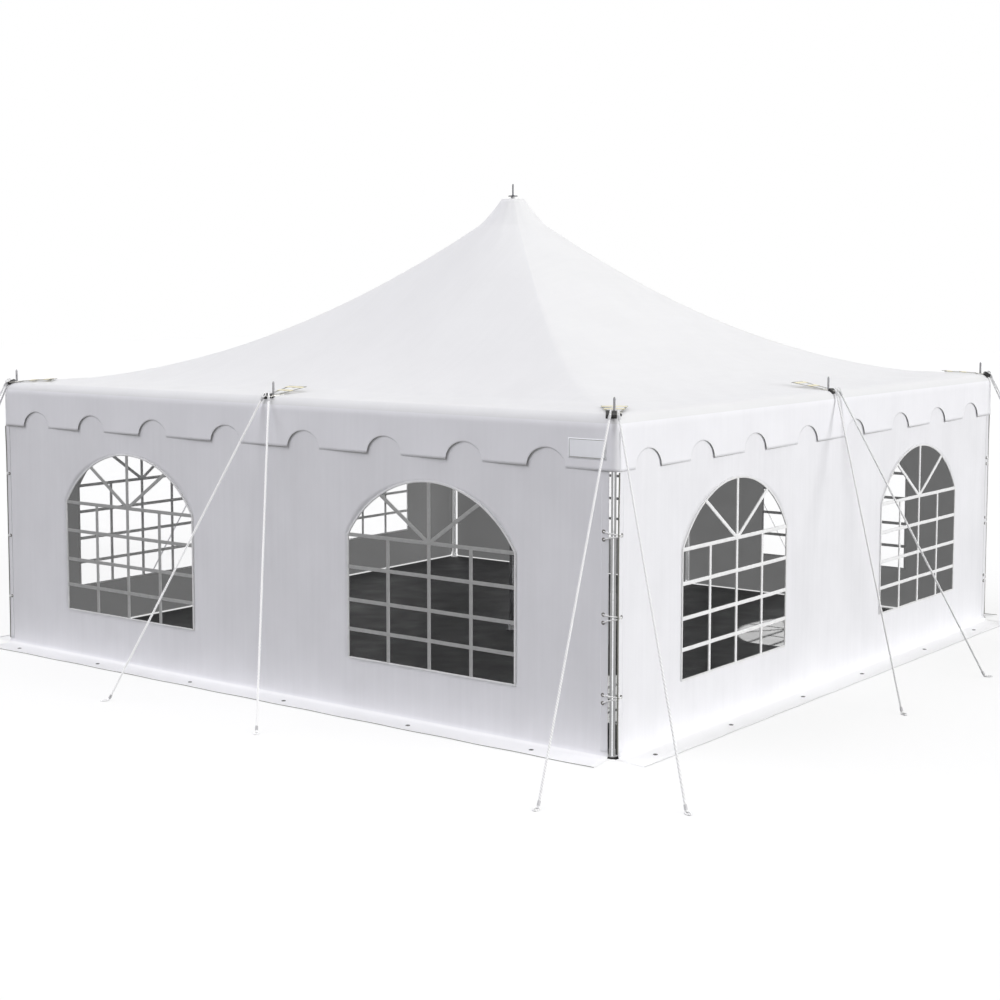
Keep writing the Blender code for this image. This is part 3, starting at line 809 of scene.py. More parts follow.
def valance_columns():
    """Columns round the tent: place, way out, spread with the band, lower edge and lean of each."""
    sides = [notched_edge(centres) for centres in NOTCHES]
    lean = [tab_lean(sides[k][0], NOTCHES[k], 1 if k % 2 == 0 else -1) for k in range(4)]
    arc = np.linspace(0, math.pi / 2, CORNER_STEPS + 1)[1:-1]
    corner_way = np.stack([np.sin(arc), -np.cos(arc)], axis=1)
    corner_spot = np.array([STRAIGHT_END, -STRAIGHT_END]) + CORNER_RADIUS * corner_way
    corner_spread = np.broadcast_to([1.0, -1.0], corner_way.shape)
    spots, ways, spreads, edges, leans = [], [], [], [], []
    for k in range(4):
        turn = TURNS[k][:2, :2].T
        along, edge = sides[k]
        side = np.stack([along, np.full(len(along), -EAVE_FACE)], axis=1)
        outwards = np.broadcast_to([0.0, -1.0], side.shape)
        grow = np.stack([along / STRAIGHT_END, -np.ones(len(along))], axis=1)
        spots += [side @ turn, corner_spot @ turn]
        ways += [outwards @ turn, corner_way @ turn]
        spreads += [grow @ turn, corner_spread @ turn]
        edges += [edge, np.full(len(arc), VALANCE_BOTTOM)]
        leans += [lean[k], np.interp(arc, [0, math.pi / 2], [lean[k][-1], lean[(k + 1) % 4][0]])]
    return tuple(np.concatenate(part) for part in (spots, ways, spreads, edges, leans))


band_spot, band_way, band_spread, band_edge, band_lean = valance_columns()
print("valance columns:", len(band_edge))

# %% [markdown]
# The rows start a little way up the eave's roll, a hair under the roof's face, and come out of it
# lower down, so that the two cloths read as one. Below the roll the band hangs.

# %% Valance
ROLL_ROWS = np.radians([60, 64, 68, 72, 76, 80, 84, 88, 90])
PROUD = np.array([-0.0004, -0.0001, *[0.00012] * 7])      # of each of those rows, from the roof's face
HANG_ROWS = 13
HANG_PROUD = 0.0001
top_out = (EAVE_FACE - EAVE_FLAT) * (np.sin(ROLL_ROWS) - 1) + PROUD
top_height = EAVE_TOP - EAVE_ROLL_DROP * (1 - np.cos(ROLL_ROWS))
hang_height = VALANCE_TOP + (band_edge - VALANCE_TOP) * np.linspace(0, 1, HANG_ROWS + 1)[1:, None]
hang_reach = hang_out(band_lean, hang_height) + HANG_PROUD * (1 - hang_share(hang_height))
top_plan = band_spot + band_spread * top_out[:, None, None]
band_plan = np.concatenate([top_plan, band_spot + band_way * hang_reach[..., None]])
top_rows = np.broadcast_to(top_height[:, None], (len(ROLL_ROWS), len(band_edge)))
band_height = np.concatenate([top_rows, hang_height])
band_points = at_height(band_plan, band_height)
band_run = run_along(band_spot)
band_flat = np.stack([np.broadcast_to(band_run, band_height.shape), band_height], axis=2).reshape(-1, 2)
band_shape = band_points.reshape(-1, 3), [grid_faces(*band_height.shape, closed_columns=True)]
band_nodes = tuple(f"valance_{side}" for side in SIDES)
band = make_piece("valance_band", [(band_shape, valance_cloth)], band_nodes, band_flat, 60)
thicken(band)

# %% [markdown]
# A thin grey cord along the tabs' lower edge is painted shadow, the shade under each tab. It is
# thinnest where a tab lies close to the wall and thickest where the tab leans out most.

# %% Painted shadow cord under the tabs
CORD_THIN, CORD_SWELL, CORD_INSET = 0.0004, 0.0010, 0.0006
CORD_REFERENCE = (0.3, 0.2, 0.93)      # along no part of the edge, so the cord's section never collapses
cord_path = band_points[-1] - at_height(band_way * CORD_INSET, 0.0)
# painted shadow: the cord is thicker where the tab leans out and its shade is wider
cord_radius = CORD_THIN + CORD_SWELL * np.clip((band_lean - LEAST_LEAN) / TAB_LEAN, 0, 1)
tab_shadow_cord = tube(cord_path, cord_radius, 6, loop=True, reference=CORD_REFERENCE)
make_piece("valance_painted_shadow_cord", [(tab_shadow_cord, strap_and_shadow_grey)], sharp=80)
print("binding:", len(cord_path), "places")

# %% [markdown]
# A wall is one sheet from the eave down to the ground, where it bends outwards and ends in a flap that
# lies on the ground. It is made as it is sewn: first the flat cut with its two arched openings, then
# the cut is hung. Between each opening and the rectangle round it the points lie on rings, so the
# cloth has no gaps and its faces stay even.

# %% Outline of a window
WINDOW_CENTRE, WINDOW_HALF = 1.524, 0.729
SILL, SPRING, ARCH_TOP = 0.380, 1.259, 1.679
ARCH_RADIUS = (WINDOW_HALF**2 + (ARCH_TOP - SPRING) ** 2) / 2 / (ARCH_TOP - SPRING)
ARCH_MIDDLE = ARCH_TOP - ARCH_RADIUS
ARCH_SPREAD = math.atan2(WINDOW_HALF, SPRING - ARCH_MIDDLE)
SILL_STEPS, JAMB_STEPS, SHOULDER_STEPS = 60, 36, 12


def run_round(corners, steps):
    """Places on straight runs from corner to corner, each in its number of steps, without the last end."""
    runs = zip(corners[:-1], corners[1:], steps)
    return np.concatenate([np.linspace(start, end, count + 1)[:-1] for start, end, count in runs])


def window_outline(grow=0.0):
    """Closed outline from the sill's left end, anticlockwise: sill, right jamb, arc and left jamb."""
    half, radius = WINDOW_HALF + grow, ARCH_RADIUS + grow
    spread = math.asin(min(1.0, half / radius))
    spring = ARCH_MIDDLE + radius * math.cos(spread)
    low = SILL - grow
    sill_and_jamb = run_round([(-half, low), (half, low), (half, spring)], [SILL_STEPS, JAMB_STEPS])
    turn = np.linspace(spread, -spread, SILL_STEPS + 2 * SHOULDER_STEPS + 1)[:-1]
    arc = np.stack([radius * np.sin(turn), ARCH_MIDDLE + radius * np.cos(turn)], axis=1)
    return np.concatenate([sill_and_jamb, arc, run_round([(-half, spring), (-half, low)], [JAMB_STEPS])])


def arch_segment(radius):
    """Area between an arc of the arch's spread and its chord: r^2 / 2 * (angle - sin angle)."""
    return radius**2 / 2 * (2 * ARCH_SPREAD - math.sin(2 * ARCH_SPREAD))


opening_area = 2 * WINDOW_HALF * (SPRING - SILL) + arch_segment(ARCH_RADIUS)
print("window:", len(window_outline()), "places round, area", round(opening_area, 3))

# %% [markdown]
# The flat cut puts one ringed field round each window, and a plain strip below both for the foot of
# the wall and the flap. Where fields meet, their points agree and become one.

# %% Flat cut of a wall
BEND = 0.042                                  # radius of the bend at the wall's foot
FLAP_FLAT = FLAP_REACH - BEND
FOOT_RUN = FLAP_FLAT + BEND * math.pi / 2     # cloth between the flap's edge and the foot of the wall
CUT_RISE = FOOT_RUN - WALL_FOOT               # height + this is the run along the cloth
CELL_FOOT, CELL_SHOULDER = 0.10, 1.55         # heights where a ringed field starts, and of its shoulders
WINDOW_RINGS = 21
FLAP_ROWS, BEND_ROWS = 9, 11


def rectangle(left, right):
    """Outline of a window's field: its points match the opening's, corner to sill end and to shoulder."""
    low, high, shoulder = (height + CUT_RISE for height in (CELL_FOOT, WALL_TOP, CELL_SHOULDER))
    corners = [(left, low), (right, low), (right, shoulder), (right, high), (left, high), (left, shoulder)]
    steps = [SILL_STEPS, JAMB_STEPS, SHOULDER_STEPS, SILL_STEPS, SHOULDER_STEPS, JAMB_STEPS]
    return run_round([*corners, corners[0]], steps)


def merged(shape):
    """Points that agree to a hundredth of a millimetre become one."""
    points, faces = shape
    _, first, place = np.unique(np.round(points, 5), axis=0, return_index=True, return_inverse=True)
    return points[first], [place.reshape(-1)[face] for face in faces]


def wall_cut():
    """Flat cut: x along the wall, y up the cloth; each ring is opening + share * (rectangle - opening)."""
    share = np.linspace(0, 1, WINDOW_RINGS)[:, None, None]
    parts = []
    for left, right, centre in ((WALL_ENDS[0], 0.0, -WINDOW_CENTRE), (0.0, WALL_ENDS[1], WINDOW_CENTRE)):
        opening = window_outline() + [centre, CUT_RISE]
        rings = opening + (rectangle(left, right) - opening) * share
        parts.append((rings.reshape(-1, 2), [grid_faces(WINDOW_RINGS, len(opening), closed_columns=True)]))
    along = np.linspace([WALL_ENDS[0], 0.0], [0.0, WALL_ENDS[1]], SILL_STEPS + 1, axis=0).T.reshape(-1)
    along = np.unique(np.round(along, 9))
    bend = np.linspace(FLAP_FLAT, FOOT_RUN, BEND_ROWS)[1:]
    run = np.concatenate([np.linspace(0, FLAP_FLAT, FLAP_ROWS), bend, [CELL_FOOT + CUT_RISE]])
    foot = np.stack(np.meshgrid(along, run), axis=2)
    parts.append((foot.reshape(-1, 2), [grid_faces(len(run), len(along))[:, ::-1]]))
    return merged(joined(*parts))


cut_points, cut_faces = wall_cut()
print("wall cut:", len(cut_points), "points")

# %% [markdown]
# Hung cloth is never quite flat. One function gives how far the wall stands out of its plane at each
# place: slow upright waves that grow towards the ground and die away behind the valance. The window
# film, its bars and the eyelets use the same function, so that everything sewn to the wall moves
# with it.

# %% Sway of a hung wall
WAVES = ((0.0017, 1.07, 0.6, 0.5), (0.0011, 0.46, 1.9, -0.9), (0.0006, 0.21, 0.3, 0.0))
# Each row is a wave's size, length, shift and slant.
FLAP_RIPPLE, RIPPLE_PITCH, FLAP_SINK = 0.0016, 0.62, 0.0012


def sway(along, height):
    """Distance out of the wall's plane.

    It is a sum of waves, size * cos(2 pi along / length + shift + slant * height), stronger low down
    and at the wall's ends, and none behind the valance or at the ground.
    """
    turn = 2 * np.pi * along
    wave = sum(size * np.cos(turn / length + shift + slant * height) for size, length, shift, slant in WAVES)
    ends = 1 + 0.8 * smooth(np.abs(along), 2.35, 2.9)
    low_down = (1.1 - 0.25 * height) * (1 - smooth(height, 1.60, 1.80)) * smooth(height, 0.03, 0.20)
    return wave * ends * low_down


def on_wall(along, height, out=0.0):
    """A point on the front wall: out metres proud of its outer face."""
    along, height, out = np.broadcast_arrays(np.asarray(along, float), height, out)
    return np.stack([along, -(WALL_FACE + sway(along, height) + out), height], axis=-1)


def flap_height(along, beyond):
    """Height of the flap's upper face, beyond the bend; its edge ripples by a millimetre or two."""
    wave = 1 + np.cos(2 * np.pi * along / RIPPLE_PITCH + 0.4)
    ripple = FLAP_RIPPLE * wave * smooth(beyond, 0.02, FLAP_FLAT)
    return WALL_FOOT - BEND - FLAP_SINK * smooth(beyond, 0, 0.03) + ripple


def hung(cut):
    """The flat cut in place: upright above the foot, a quarter circle below it, and then the flap."""
    along, run = cut.T
    turn = np.clip((FOOT_RUN - run) / BEND, 0, math.pi / 2)
    beyond = np.clip(FLAP_FLAT - run, 0, None)
    out = WALL_FACE + BEND * (1 - np.cos(turn)) + beyond
    low = np.where(beyond > 0, flap_height(along, beyond), WALL_FOOT - BEND * np.sin(turn))
    left, right = (flap / wall - 1 for flap, wall in zip(FLAP_ENDS, WALL_ENDS))
    wide = along * (1 + np.where(along > 0, right, left) * (1 - run / FOOT_RUN))
    bent = np.stack([wide, -out, low], axis=-1)
    return np.where((run < FOOT_RUN)[:, None], bent, on_wall(along, run - CUT_RISE))


wall_points = hung(cut_points)
print("sway at the middle of the wall:", round(float(sway(0.0, 1.0)) * 1000, 2), "mm")

# %% [markdown]
# The four walls are the same cloth, turned to each side. The flaps have a finish of their own, paler
# than the walls' cloth, which is painted light; on the right and left sides it also glows a little,
# which is more painted light.

# %% Hang the walls
is_flap = np.concatenate([cut_points[face][..., 1].mean(axis=1) < FLAP_FLAT + BEND for face in cut_faces])
for k, side in enumerate(SIDES):
    nodes = (f"wall_{side}", f"ground_flap_{side}")
    shape = on_side((wall_points, cut_faces), k)
    wall = make_piece(f"wall_sheet_{side}", [(shape, wall_cloth)], nodes, cut_points, 60)
    for finish in (inner_shade_and_glow, flap_painted_glow if k % 2 else flap_painted_light, inner_shade_and_glow):
        wall.data.materials.append(finish)
    wall.data.polygons.foreach_set("material_index", np.where(is_flap, 2, 0))
    thicken(wall, inner=1)

# %% [markdown]
# Each window is a sheet of clear film behind the opening, a little larger than it. The film's points
# lie on rings that shrink from the outline to the middle.

# %% Window film
PANE_LAP = 0.020
FILM_DEPTH = 0.0020          # the film lies this far behind the wall's outer face
FILM_MIDDLE = np.array([0.0, 0.95])
FILM_RINGS, LAST_RING = 20, 0.02

pane_outline = window_outline(PANE_LAP)
ring_shares = np.linspace(1, LAST_RING, FILM_RINGS)[:, None, None]
film_flat = (FILM_MIDDLE + (pane_outline - FILM_MIDDLE) * ring_shares).reshape(-1, 2)
film_faces = [grid_faces(FILM_RINGS, len(pane_outline), closed_columns=True)[:, ::-1]]
film_faces.append(np.arange(len(film_flat) - len(pane_outline), len(film_flat))[None])


def hang_film(k, side, hand, name):
    """One pane of film on a side: behind its opening, and stretched on the wall."""
    spots = film_flat + [hand * WINDOW_CENTRE, 0.0]
    points = on_wall(spots[:, 0], spots[:, 1], -FILM_DEPTH)
    shapes = [(on_side((points, film_faces), k), clear_film)]
    pane = make_piece(f"window_film_{side}_{name}", shapes, (f"window_{side}_{name}",), spots)


for k, side in enumerate(SIDES):
    for hand, name in ((-1, "left"), (1, "right")):
        hang_film(k, side, hand, name)

# %% [markdown]
# White bars are welded onto the film: a bar across where the arch begins, three more below it, three
# uprights, and a fan of three above. A narrow white border runs round the opening and holds the cut
# edge of the cloth.

# %% Window bars and borders
BAR_WIDTH, BAR_OUT = 0.0262, 0.0062
BAR_ROWS = (SPRING, 1.029, 0.794, 0.584)
BAR_LAP = 0.004              # of a bar's end over the edge of the opening
FAN_REACH = (0.43, 0.30)     # of the fan's outer bars, sideways and up from where they start
BORDER_WIDTH, BORDER_OUT, BORDER_BACK, BORDER_GROW = 0.014, 0.0072, 0.0012, 0.002
SOFT_EDGE = 0.0022


def strip_along(path, width, centre, out, back, loop=False):
    """A bar on the window: width across, from back metres behind the cloth to out metres proud of it."""
    path = np.asarray(path, float) + [centre, 0.0]
    tangent = directions(path, loop)
    across = np.stack([-tangent[:, 1], np.zeros(len(path)), tangent[:, 0]], axis=1)
    half, deep, soft = width / 2, out + back, SOFT_EDGE
    section = [(-half, -deep), (-half, -soft), (-half + 0.3 * soft, -0.3 * soft), (-half + soft, 0)]
    section += [(-u, v) for u, v in section[::-1]]
    return carried(on_wall(path[:, 0], path[:, 1], out), across, OUT_OF_FRONT, section, loop)


def window_bars(centre):
    """Bars of one window, each a strip along a straight path."""
    half = WINDOW_HALF + BAR_LAP
    paths = [np.linspace((-half, row), (half, row), 60) for row in BAR_ROWS]
    uprights = (-WINDOW_HALF / 2, 0.0, WINDOW_HALF / 2)
    paths += [np.linspace((x, SILL - BAR_LAP), (x, SPRING), 36) for x in uprights]
    paths += [np.linspace((0, SPRING), (0, ARCH_TOP + BAR_LAP), 20)]
    fan_end = SPRING + FAN_REACH[1]
    paths += [np.linspace((0, SPRING), (hand * FAN_REACH[0], fan_end), 24) for hand in (-1, 1)]
    return [strip_along(path, BAR_WIDTH, centre, BAR_OUT, FILM_DEPTH - 0.0002) for path in paths]


def window_border(centre):
    """A narrow lip that runs round the whole opening."""
    return strip_along(window_outline(BORDER_GROW), BORDER_WIDTH, centre, BORDER_OUT, BORDER_BACK, loop=True)


window_middles = (-WINDOW_CENTRE, WINDOW_CENTRE)
bars = joined(*(bar for middle in window_middles for bar in window_bars(middle)))
borders = joined(*(window_border(middle) for middle in window_middles))
bar_pieces = []
for k, side in enumerate(SIDES):
    # painted light: brighter bars on the right and left sides
    bar_finish = side_bars_painted_light if k % 2 else bar_white
    bar_pieces.append(make_piece(f"window_bars_{side}", [(on_side(bars, k), bar_finish)]))
    make_piece(f"window_border_{side}", [(on_side(borders, k), border_white)])
print("bars:", len(bars[0]), "points a side, borders", len(borders[0]))

# %% [markdown]
# The ground sheet covers the whole inside. It is thin, so it shows the slow buckles of a sheet that was
# folded before. Its edges lie just inside the walls.

# %% Ground sheet
SHEET_HALF, SHEET_POINTS, SHEET_THICK = 3.03, 81, 0.001
SHEET_LOW, BUCKLE_HEIGHT = 0.0013, 0.0007
sheet_line = np.linspace(-SHEET_HALF, SHEET_HALF, SHEET_POINTS)
sheet_x, sheet_y = np.meshgrid(sheet_line, sheet_line)
slow_buckle = np.sin(2.1 * sheet_x + 0.6) * np.cos(1.7 * sheet_y)
buckle = 0.5 + 0.25 * (slow_buckle + np.cos(5.3 * sheet_x - 3.1 * sheet_y))
sheet_points = np.stack([sheet_x, sheet_y, SHEET_LOW + BUCKLE_HEIGHT * buckle], axis=2).reshape(-1, 3)
sheet_shape = sheet_points, [grid_faces(SHEET_POINTS, SHEET_POINTS)[:, ::-1]]
sheet_parts = [(sheet_shape, ground_finish)]
ground = make_piece("ground_cover", sheet_parts, ("ground_sheet",), sheet_points[:, :2])
thicken(ground, SHEET_THICK)
print("ground sheet:", 2 * SHEET_HALF, "m a side")

# %% [markdown]
# A hem runs up both ends of every wall: the cloth is turned over and stitched down, so it stands a
# millimetre proud. The stitches are short blocks in a row, 3 mm of thread and then a gap, and they
# follow the cloth. A dark cord runs up the left end of each wall: it is painted shade, the dark
# upright line of shade at the wall's edge. Along the outer edge of each flap runs a thin piping, grey
# on the front and back, where it is painted shadow of the flap's edge on the floor, and white on the
# right and left.

# %% Hems, piping and stitches
HEM_OUT = 0.0011
HEM_SPANS = ((WALL_ENDS[0], WALL_ENDS[0] + 0.048), (WALL_ENDS[1] - 0.056, WALL_ENDS[1]))
HEM_TOP, HEM_COLUMNS, HEM_ROWS = WALL_TOP - 0.02, 8, 80
STITCH_INSET, STITCH_TOP = 0.004, 1.95
STITCH_LENGTH, STITCH_PITCH, STITCH_HALF = 0.0030, 0.0042, 0.0005
STITCH_HEIGHTS = (-0.0003, 0.0004)      # of a stitch's two faces, from the hem's face
PIPING_RADIUS, PIPING_POINTS = 0.0024, 240
EDGE_CORD_RADIUS, EDGE_CORD_OUT = 0.0050, 0.0005


def hem_patch(left, right):
    """A grid of places on the front wall, from high to low, with its flat map."""
    rise, across = np.linspace(HEM_TOP, WALL_FOOT, HEM_ROWS), np.linspace(left, right, HEM_COLUMNS)
    height, along = np.meshgrid(rise, across, indexing="ij")
    points = on_wall(along, height, HEM_OUT).reshape(-1, 3)
    flat = np.stack([along.ravel(), height.ravel() + 0.5], axis=1)
    return (points, [grid_faces(HEM_ROWS, HEM_COLUMNS)]), flat


def places_at(path, distances):
    """Places on a path at these distances along it."""
    run = run_along(path)
    return np.stack([np.interp(distances, run, path[:, i]) for i in range(3)], axis=1)


def stitch_row(path):
    """Short blocks of thread set evenly along a path on the wall, each turned to the path's direction."""
    at = np.arange(STITCH_PITCH, run_along(path)[-1] - STITCH_PITCH, STITCH_PITCH)
    here = places_at(path, at)
    ahead = unit(places_at(path, at + STITCH_PITCH / 2) - here)
    out_way = np.broadcast_to(OUT_OF_FRONT, ahead.shape)
    turns = np.stack([ahead, np.cross(out_way, ahead), out_way], axis=2)
    return copies(slab(rectangle_about(STITCH_LENGTH / 2, STITCH_HALF), *STITCH_HEIGHTS), turns, here)


hem_shapes, hem_flats = zip(*(hem_patch(left, right) for left, right in HEM_SPANS))
stitch_rise = np.linspace(WALL_FOOT + 0.01, STITCH_TOP, 200)
seams = [x for left, right in HEM_SPANS for x in (left + STITCH_INSET, right - STITCH_INSET)]
stitches = joined(*(stitch_row(on_wall(x, stitch_rise, HEM_OUT)) for x in seams))
edge_x = np.linspace(FLAP_ENDS[0] + 0.003, FLAP_ENDS[1] - 0.003, PIPING_POINTS)
edge_y = np.full(PIPING_POINTS, -(WALL_FACE + FLAP_REACH))
piping = tube(np.stack([edge_x, edge_y, flap_height(edge_x, FLAP_FLAT) + 0.0006], axis=1), PIPING_RADIUS)
# painted shade: a dark cord up each wall's left end
cord_rise = np.linspace(WALL_FOOT, VALANCE_BOTTOM - 0.006, 60)
cord_line = on_wall(WALL_ENDS[0] - 0.0042, cord_rise, EDGE_CORD_OUT)
edge_shade_cord = tube(cord_line, EDGE_CORD_RADIUS, reference=(0.0, 1.0, 0.0))
for k, side in enumerate(SIDES):
    hem_parts = [(on_side(joined(*hem_shapes), k), wall_cloth)]
    hems = make_piece(f"wall_hems_{side}", hem_parts, flat=np.concatenate(hem_flats))
    thicken(hems, HEM_OUT)
    make_piece(f"hem_stitches_{side}", [(on_side(stitches, k), thread)])
    make_piece(f"hem_painted_shade_cord_{side}", [(on_side(edge_shade_cord, k), strap_and_shadow_grey)], sharp=80)
    # painted shadow: the piping is grey on the front and back, white on the right and left
    piping_finish = thread if k % 2 else strap_and_shadow_grey
    make_piece(f"flap_piping_{side}", [(on_side(piping, k), piping_finish)])
print("stitches:", len(stitches[0]) // 8, "a side")

# %% [markdown]
# The corners are laced. Each wall has three pairs of eyelets at its right end and three single ones at
# its left end. A white cord runs from each of a pair round the pole's gap to the single eyelet of
# the next wall, so it makes a V. Six more eyelets in each flap are for ground pegs.

# %% Eyelets
LACE_HEIGHTS = ((1.463, 1.411, 1.440), (0.932, 0.879, 0.918), (0.414, 0.361, 0.404))
# Each row is the two heights of a pair, and then the height of the single eyelet that they lead to.
PAIR_AT, SINGLE_AT = 2.945, -2.990
FLAP_EYELETS = np.array([-2.76, -1.78, -0.72, 0.26, 1.43, 2.47])
FLAP_EYELET_LINE, FLAP_EYELET_SCALE = 3.163, 1.25
EYELET_INNER, EYELET_OUTER, EYELET_HIGH = 0.0060, 0.0130, 0.0024
BELOW_FACE = -0.0002
UPRIGHT = np.array([[1.0, 0.0, 0.0], [0.0, 0.0, -1.0], [0.0, 1.0, 0.0]])     # local Z becomes -Y

eyelet = ring_shape(EYELET_INNER, EYELET_OUTER, BELOW_FACE, EYELET_HIGH, 20)
# painted shade: a dark disc fills each eyelet's hole
hole = turned([(EYELET_INNER + 0.0004, BELOW_FACE), (EYELET_INNER + 0.0004, 0.0005)], 16)
pair_heights = [z for pair in LACE_HEIGHTS for z in pair[:2]]
wall_spots = [on_wall(PAIR_AT, z, HEM_OUT) for z in pair_heights]
wall_spots += [on_wall(SINGLE_AT, single, HEM_OUT) for _, _, single in LACE_HEIGHTS]
flap_plan = np.stack([FLAP_EYELETS, np.full(len(FLAP_EYELETS), -FLAP_EYELET_LINE)], axis=1)
flap_spots = at_height(flap_plan, flap_height(FLAP_EYELETS, FLAP_EYELET_LINE - WALL_FACE - BEND) + 0.0002)
on_walls = np.stack([UPRIGHT] * len(wall_spots))
on_flaps = np.stack([np.eye(3) * FLAP_EYELET_SCALE] * len(flap_spots))


def on_wall_and_flap(shape):
    """A small round part copied to every eyelet's place on one side."""
    return joined(copies(shape, on_walls, wall_spots), copies(shape, on_flaps, flap_spots))


eyelets, holes = on_wall_and_flap(eyelet), on_wall_and_flap(hole)
for k, side in enumerate(SIDES):
    shapes = [(on_side(eyelets, k), nickel), (on_side(holes, k), hole_painted_shade)]
    make_piece(f"eyelets_{side}", shapes)
print("eyelets:", len(SIDES) * (len(wall_spots) + len(flap_spots)))

# %% [markdown]
# A lacing cord is a path of a few places, softened by cutting its corners again and again, with a
# round section carried along it.

# %% Corner lacing
LACE_RADIUS = 0.0042
LACE_BEHIND, LACE_OUT, LACE_AT_HEM = -0.004, 0.0062, 0.0058
LACE_GAP = 0.0070            # of the cord from the walls' planes where it rounds the corner


def softened(path, times=3):
    """Cut every corner of a path at a quarter and three quarters of each step, several times."""
    path = np.asarray(path, float)
    for _ in range(times):
        cuts = [0.75 * path[:-1] + 0.25 * path[1:], 0.25 * path[:-1] + 0.75 * path[1:]]
        path = np.concatenate([path[:1], np.stack(cuts, axis=1).reshape(-1, 3), path[-1:]])
    return path


def lace(start_height, end_height):
    """One cord: out of a pair's eyelet, along the hem, round the corner and into the next wall's eyelet."""
    height = np.linspace(start_height, end_height, 5)
    edge, gap = WALL_ENDS[1], WALL_FACE + LACE_GAP
    first = [on_wall(PAIR_AT, height[0], out) for out in (LACE_BEHIND, LACE_OUT)]
    first.append(on_wall(edge - 0.014, height[1], LACE_AT_HEM))
    middle = [np.array([edge + 0.006, -gap, height[2]]), np.array([gap, WALL_ENDS[0] - 0.002, height[3]])]
    last = [TURNS[1] @ on_wall(SINGLE_AT, end_height, out) for out in (LACE_OUT, LACE_BEHIND)]
    return tube(softened([*first, *middle, *last]), LACE_RADIUS)


laces = joined(*(lace(z, pair[2]) for pair in LACE_HEIGHTS for z in pair[:2]))
for k, name in enumerate(CORNERS):
    make_piece(f"corner_lacing_{name}", [(on_side(laces, k), lace_fibre)], sharp=80)
print("lacing cords:", len(CORNERS) * len(pair_heights))

# %% [markdown]
# A small label is sewn to the front valance in the picture. Here it is a bare white patch with a thin
# grey line round it, bent with the cloth below it.

# %% Bare patch
PATCH_LEFT, PATCH_RIGHT, PATCH_LOW, PATCH_HIGH = 2.672, 2.962, 1.915, 2.045
PATCH_ROWS, PATCH_COLUMNS = 9, 15
PATCH_OUT, PATCH_THICK = 0.0020, 0.0012
LINE_INSET, LINE_OUT, LINE_HALF, LINE_THIN, LINE_STEPS = 0.008, 0.0022, 0.0016, 0.0004, 15


def on_valance(along, height, out):
    """A point on the front valance: out metres proud of its face, which leans as the tab does there."""
    face = EAVE_FACE + hang_out(tab_lean(along, FRONT_NOTCHES, 1), height)
    return np.stack([along, -(face + out), height], axis=-1)


patch_rise = np.linspace(PATCH_HIGH, PATCH_LOW, PATCH_ROWS)
patch_z, patch_x = np.meshgrid(patch_rise, np.linspace(PATCH_LEFT, PATCH_RIGHT, PATCH_COLUMNS), indexing="ij")
patch_points = on_valance(patch_x, patch_z, PATCH_OUT).reshape(-1, 3)
patch_shape, patch_flat = (patch_points, [grid_faces(PATCH_ROWS, PATCH_COLUMNS)]), patch_points[:, [0, 2]]
# the patch's slight glow is painted light
patch = make_piece("bare_patch", [(patch_shape, patch_painted_glow)], flat=patch_flat)
thicken(patch, PATCH_THICK)
x0, x1 = PATCH_LEFT + LINE_INSET, PATCH_RIGHT - LINE_INSET
z0, z1 = PATCH_LOW + LINE_INSET, PATCH_HIGH - LINE_INSET
line = run_round([(x0, z0), (x1, z0), (x1, z1), (x0, z1), (x0, z0)], [LINE_STEPS] * 4)
line_way = directions(line, loop=True)
line_side = np.stack([-line_way[:, 1], np.zeros(len(line)), line_way[:, 0]], axis=1)
line_path = on_valance(line[:, 0], line[:, 1], LINE_OUT)
line_shape = carried(line_path, OUT_OF_FRONT, line_side, rectangle_about(LINE_THIN, LINE_HALF), True)
make_piece("patch_outline", [(line_shape, strap_and_shadow_grey)])
print("patch:", round(PATCH_RIGHT - PATCH_LEFT, 3), "x", round(PATCH_HIGH - PATCH_LOW, 3), "m")

# %% [markdown]
# Every side pole carries a head plate on the roof's straight slope. Its place and tilt follow from the
# roof, and the ropes start at its ears, so both are worked out before anything is made there.

# %% Where the heads and ropes are
PLATE, PLATE_SEAT = 0.004, 0.0005
PLATE_OUTER = -0.050         # outer edge of the plate, in its own frame
EAR_REACH, EAR_CENTRE = 0.020, 0.026
ROPE_RADIUS, ROPE_SEAT = 0.0080, 0.0005
ROPE_OUT = {True: 1.19, False: 0.98}        # of the foot from its pole, at a corner and at a middle
ROPE_ASIDE = {True: 0.425, False: 0.75}
CORNER_TURN, CORNER_RUN = -12, 0.74         # degrees off the diagonal, and how steep that way is
ROOF_SLOPE = float(roof_height(STRAIGHT_REACH) - EAVE_TOP) / (EAVE_FLAT - STRAIGHT_FROM)
HEADS = [(k, corner) for k in range(4) for corner in (False, True)]


def head_name(k, corner):
    """The name of a pole's place: a corner, or the middle of a side."""
    return CORNERS[k] if corner else f"{SIDES[k]}_middle"


def pole_spot(k, corner):
    """Where a side pole's axis meets the ground."""
    return TURNS[k] @ [POLE_LINE if corner else 0.0, -POLE_LINE, 0.0]


def roof_at(distance):
    """Height of the straight slope at a distance from the middle of the tent."""
    return EAVE_TOP + ROOF_SLOPE * (EAVE_FLAT - distance)


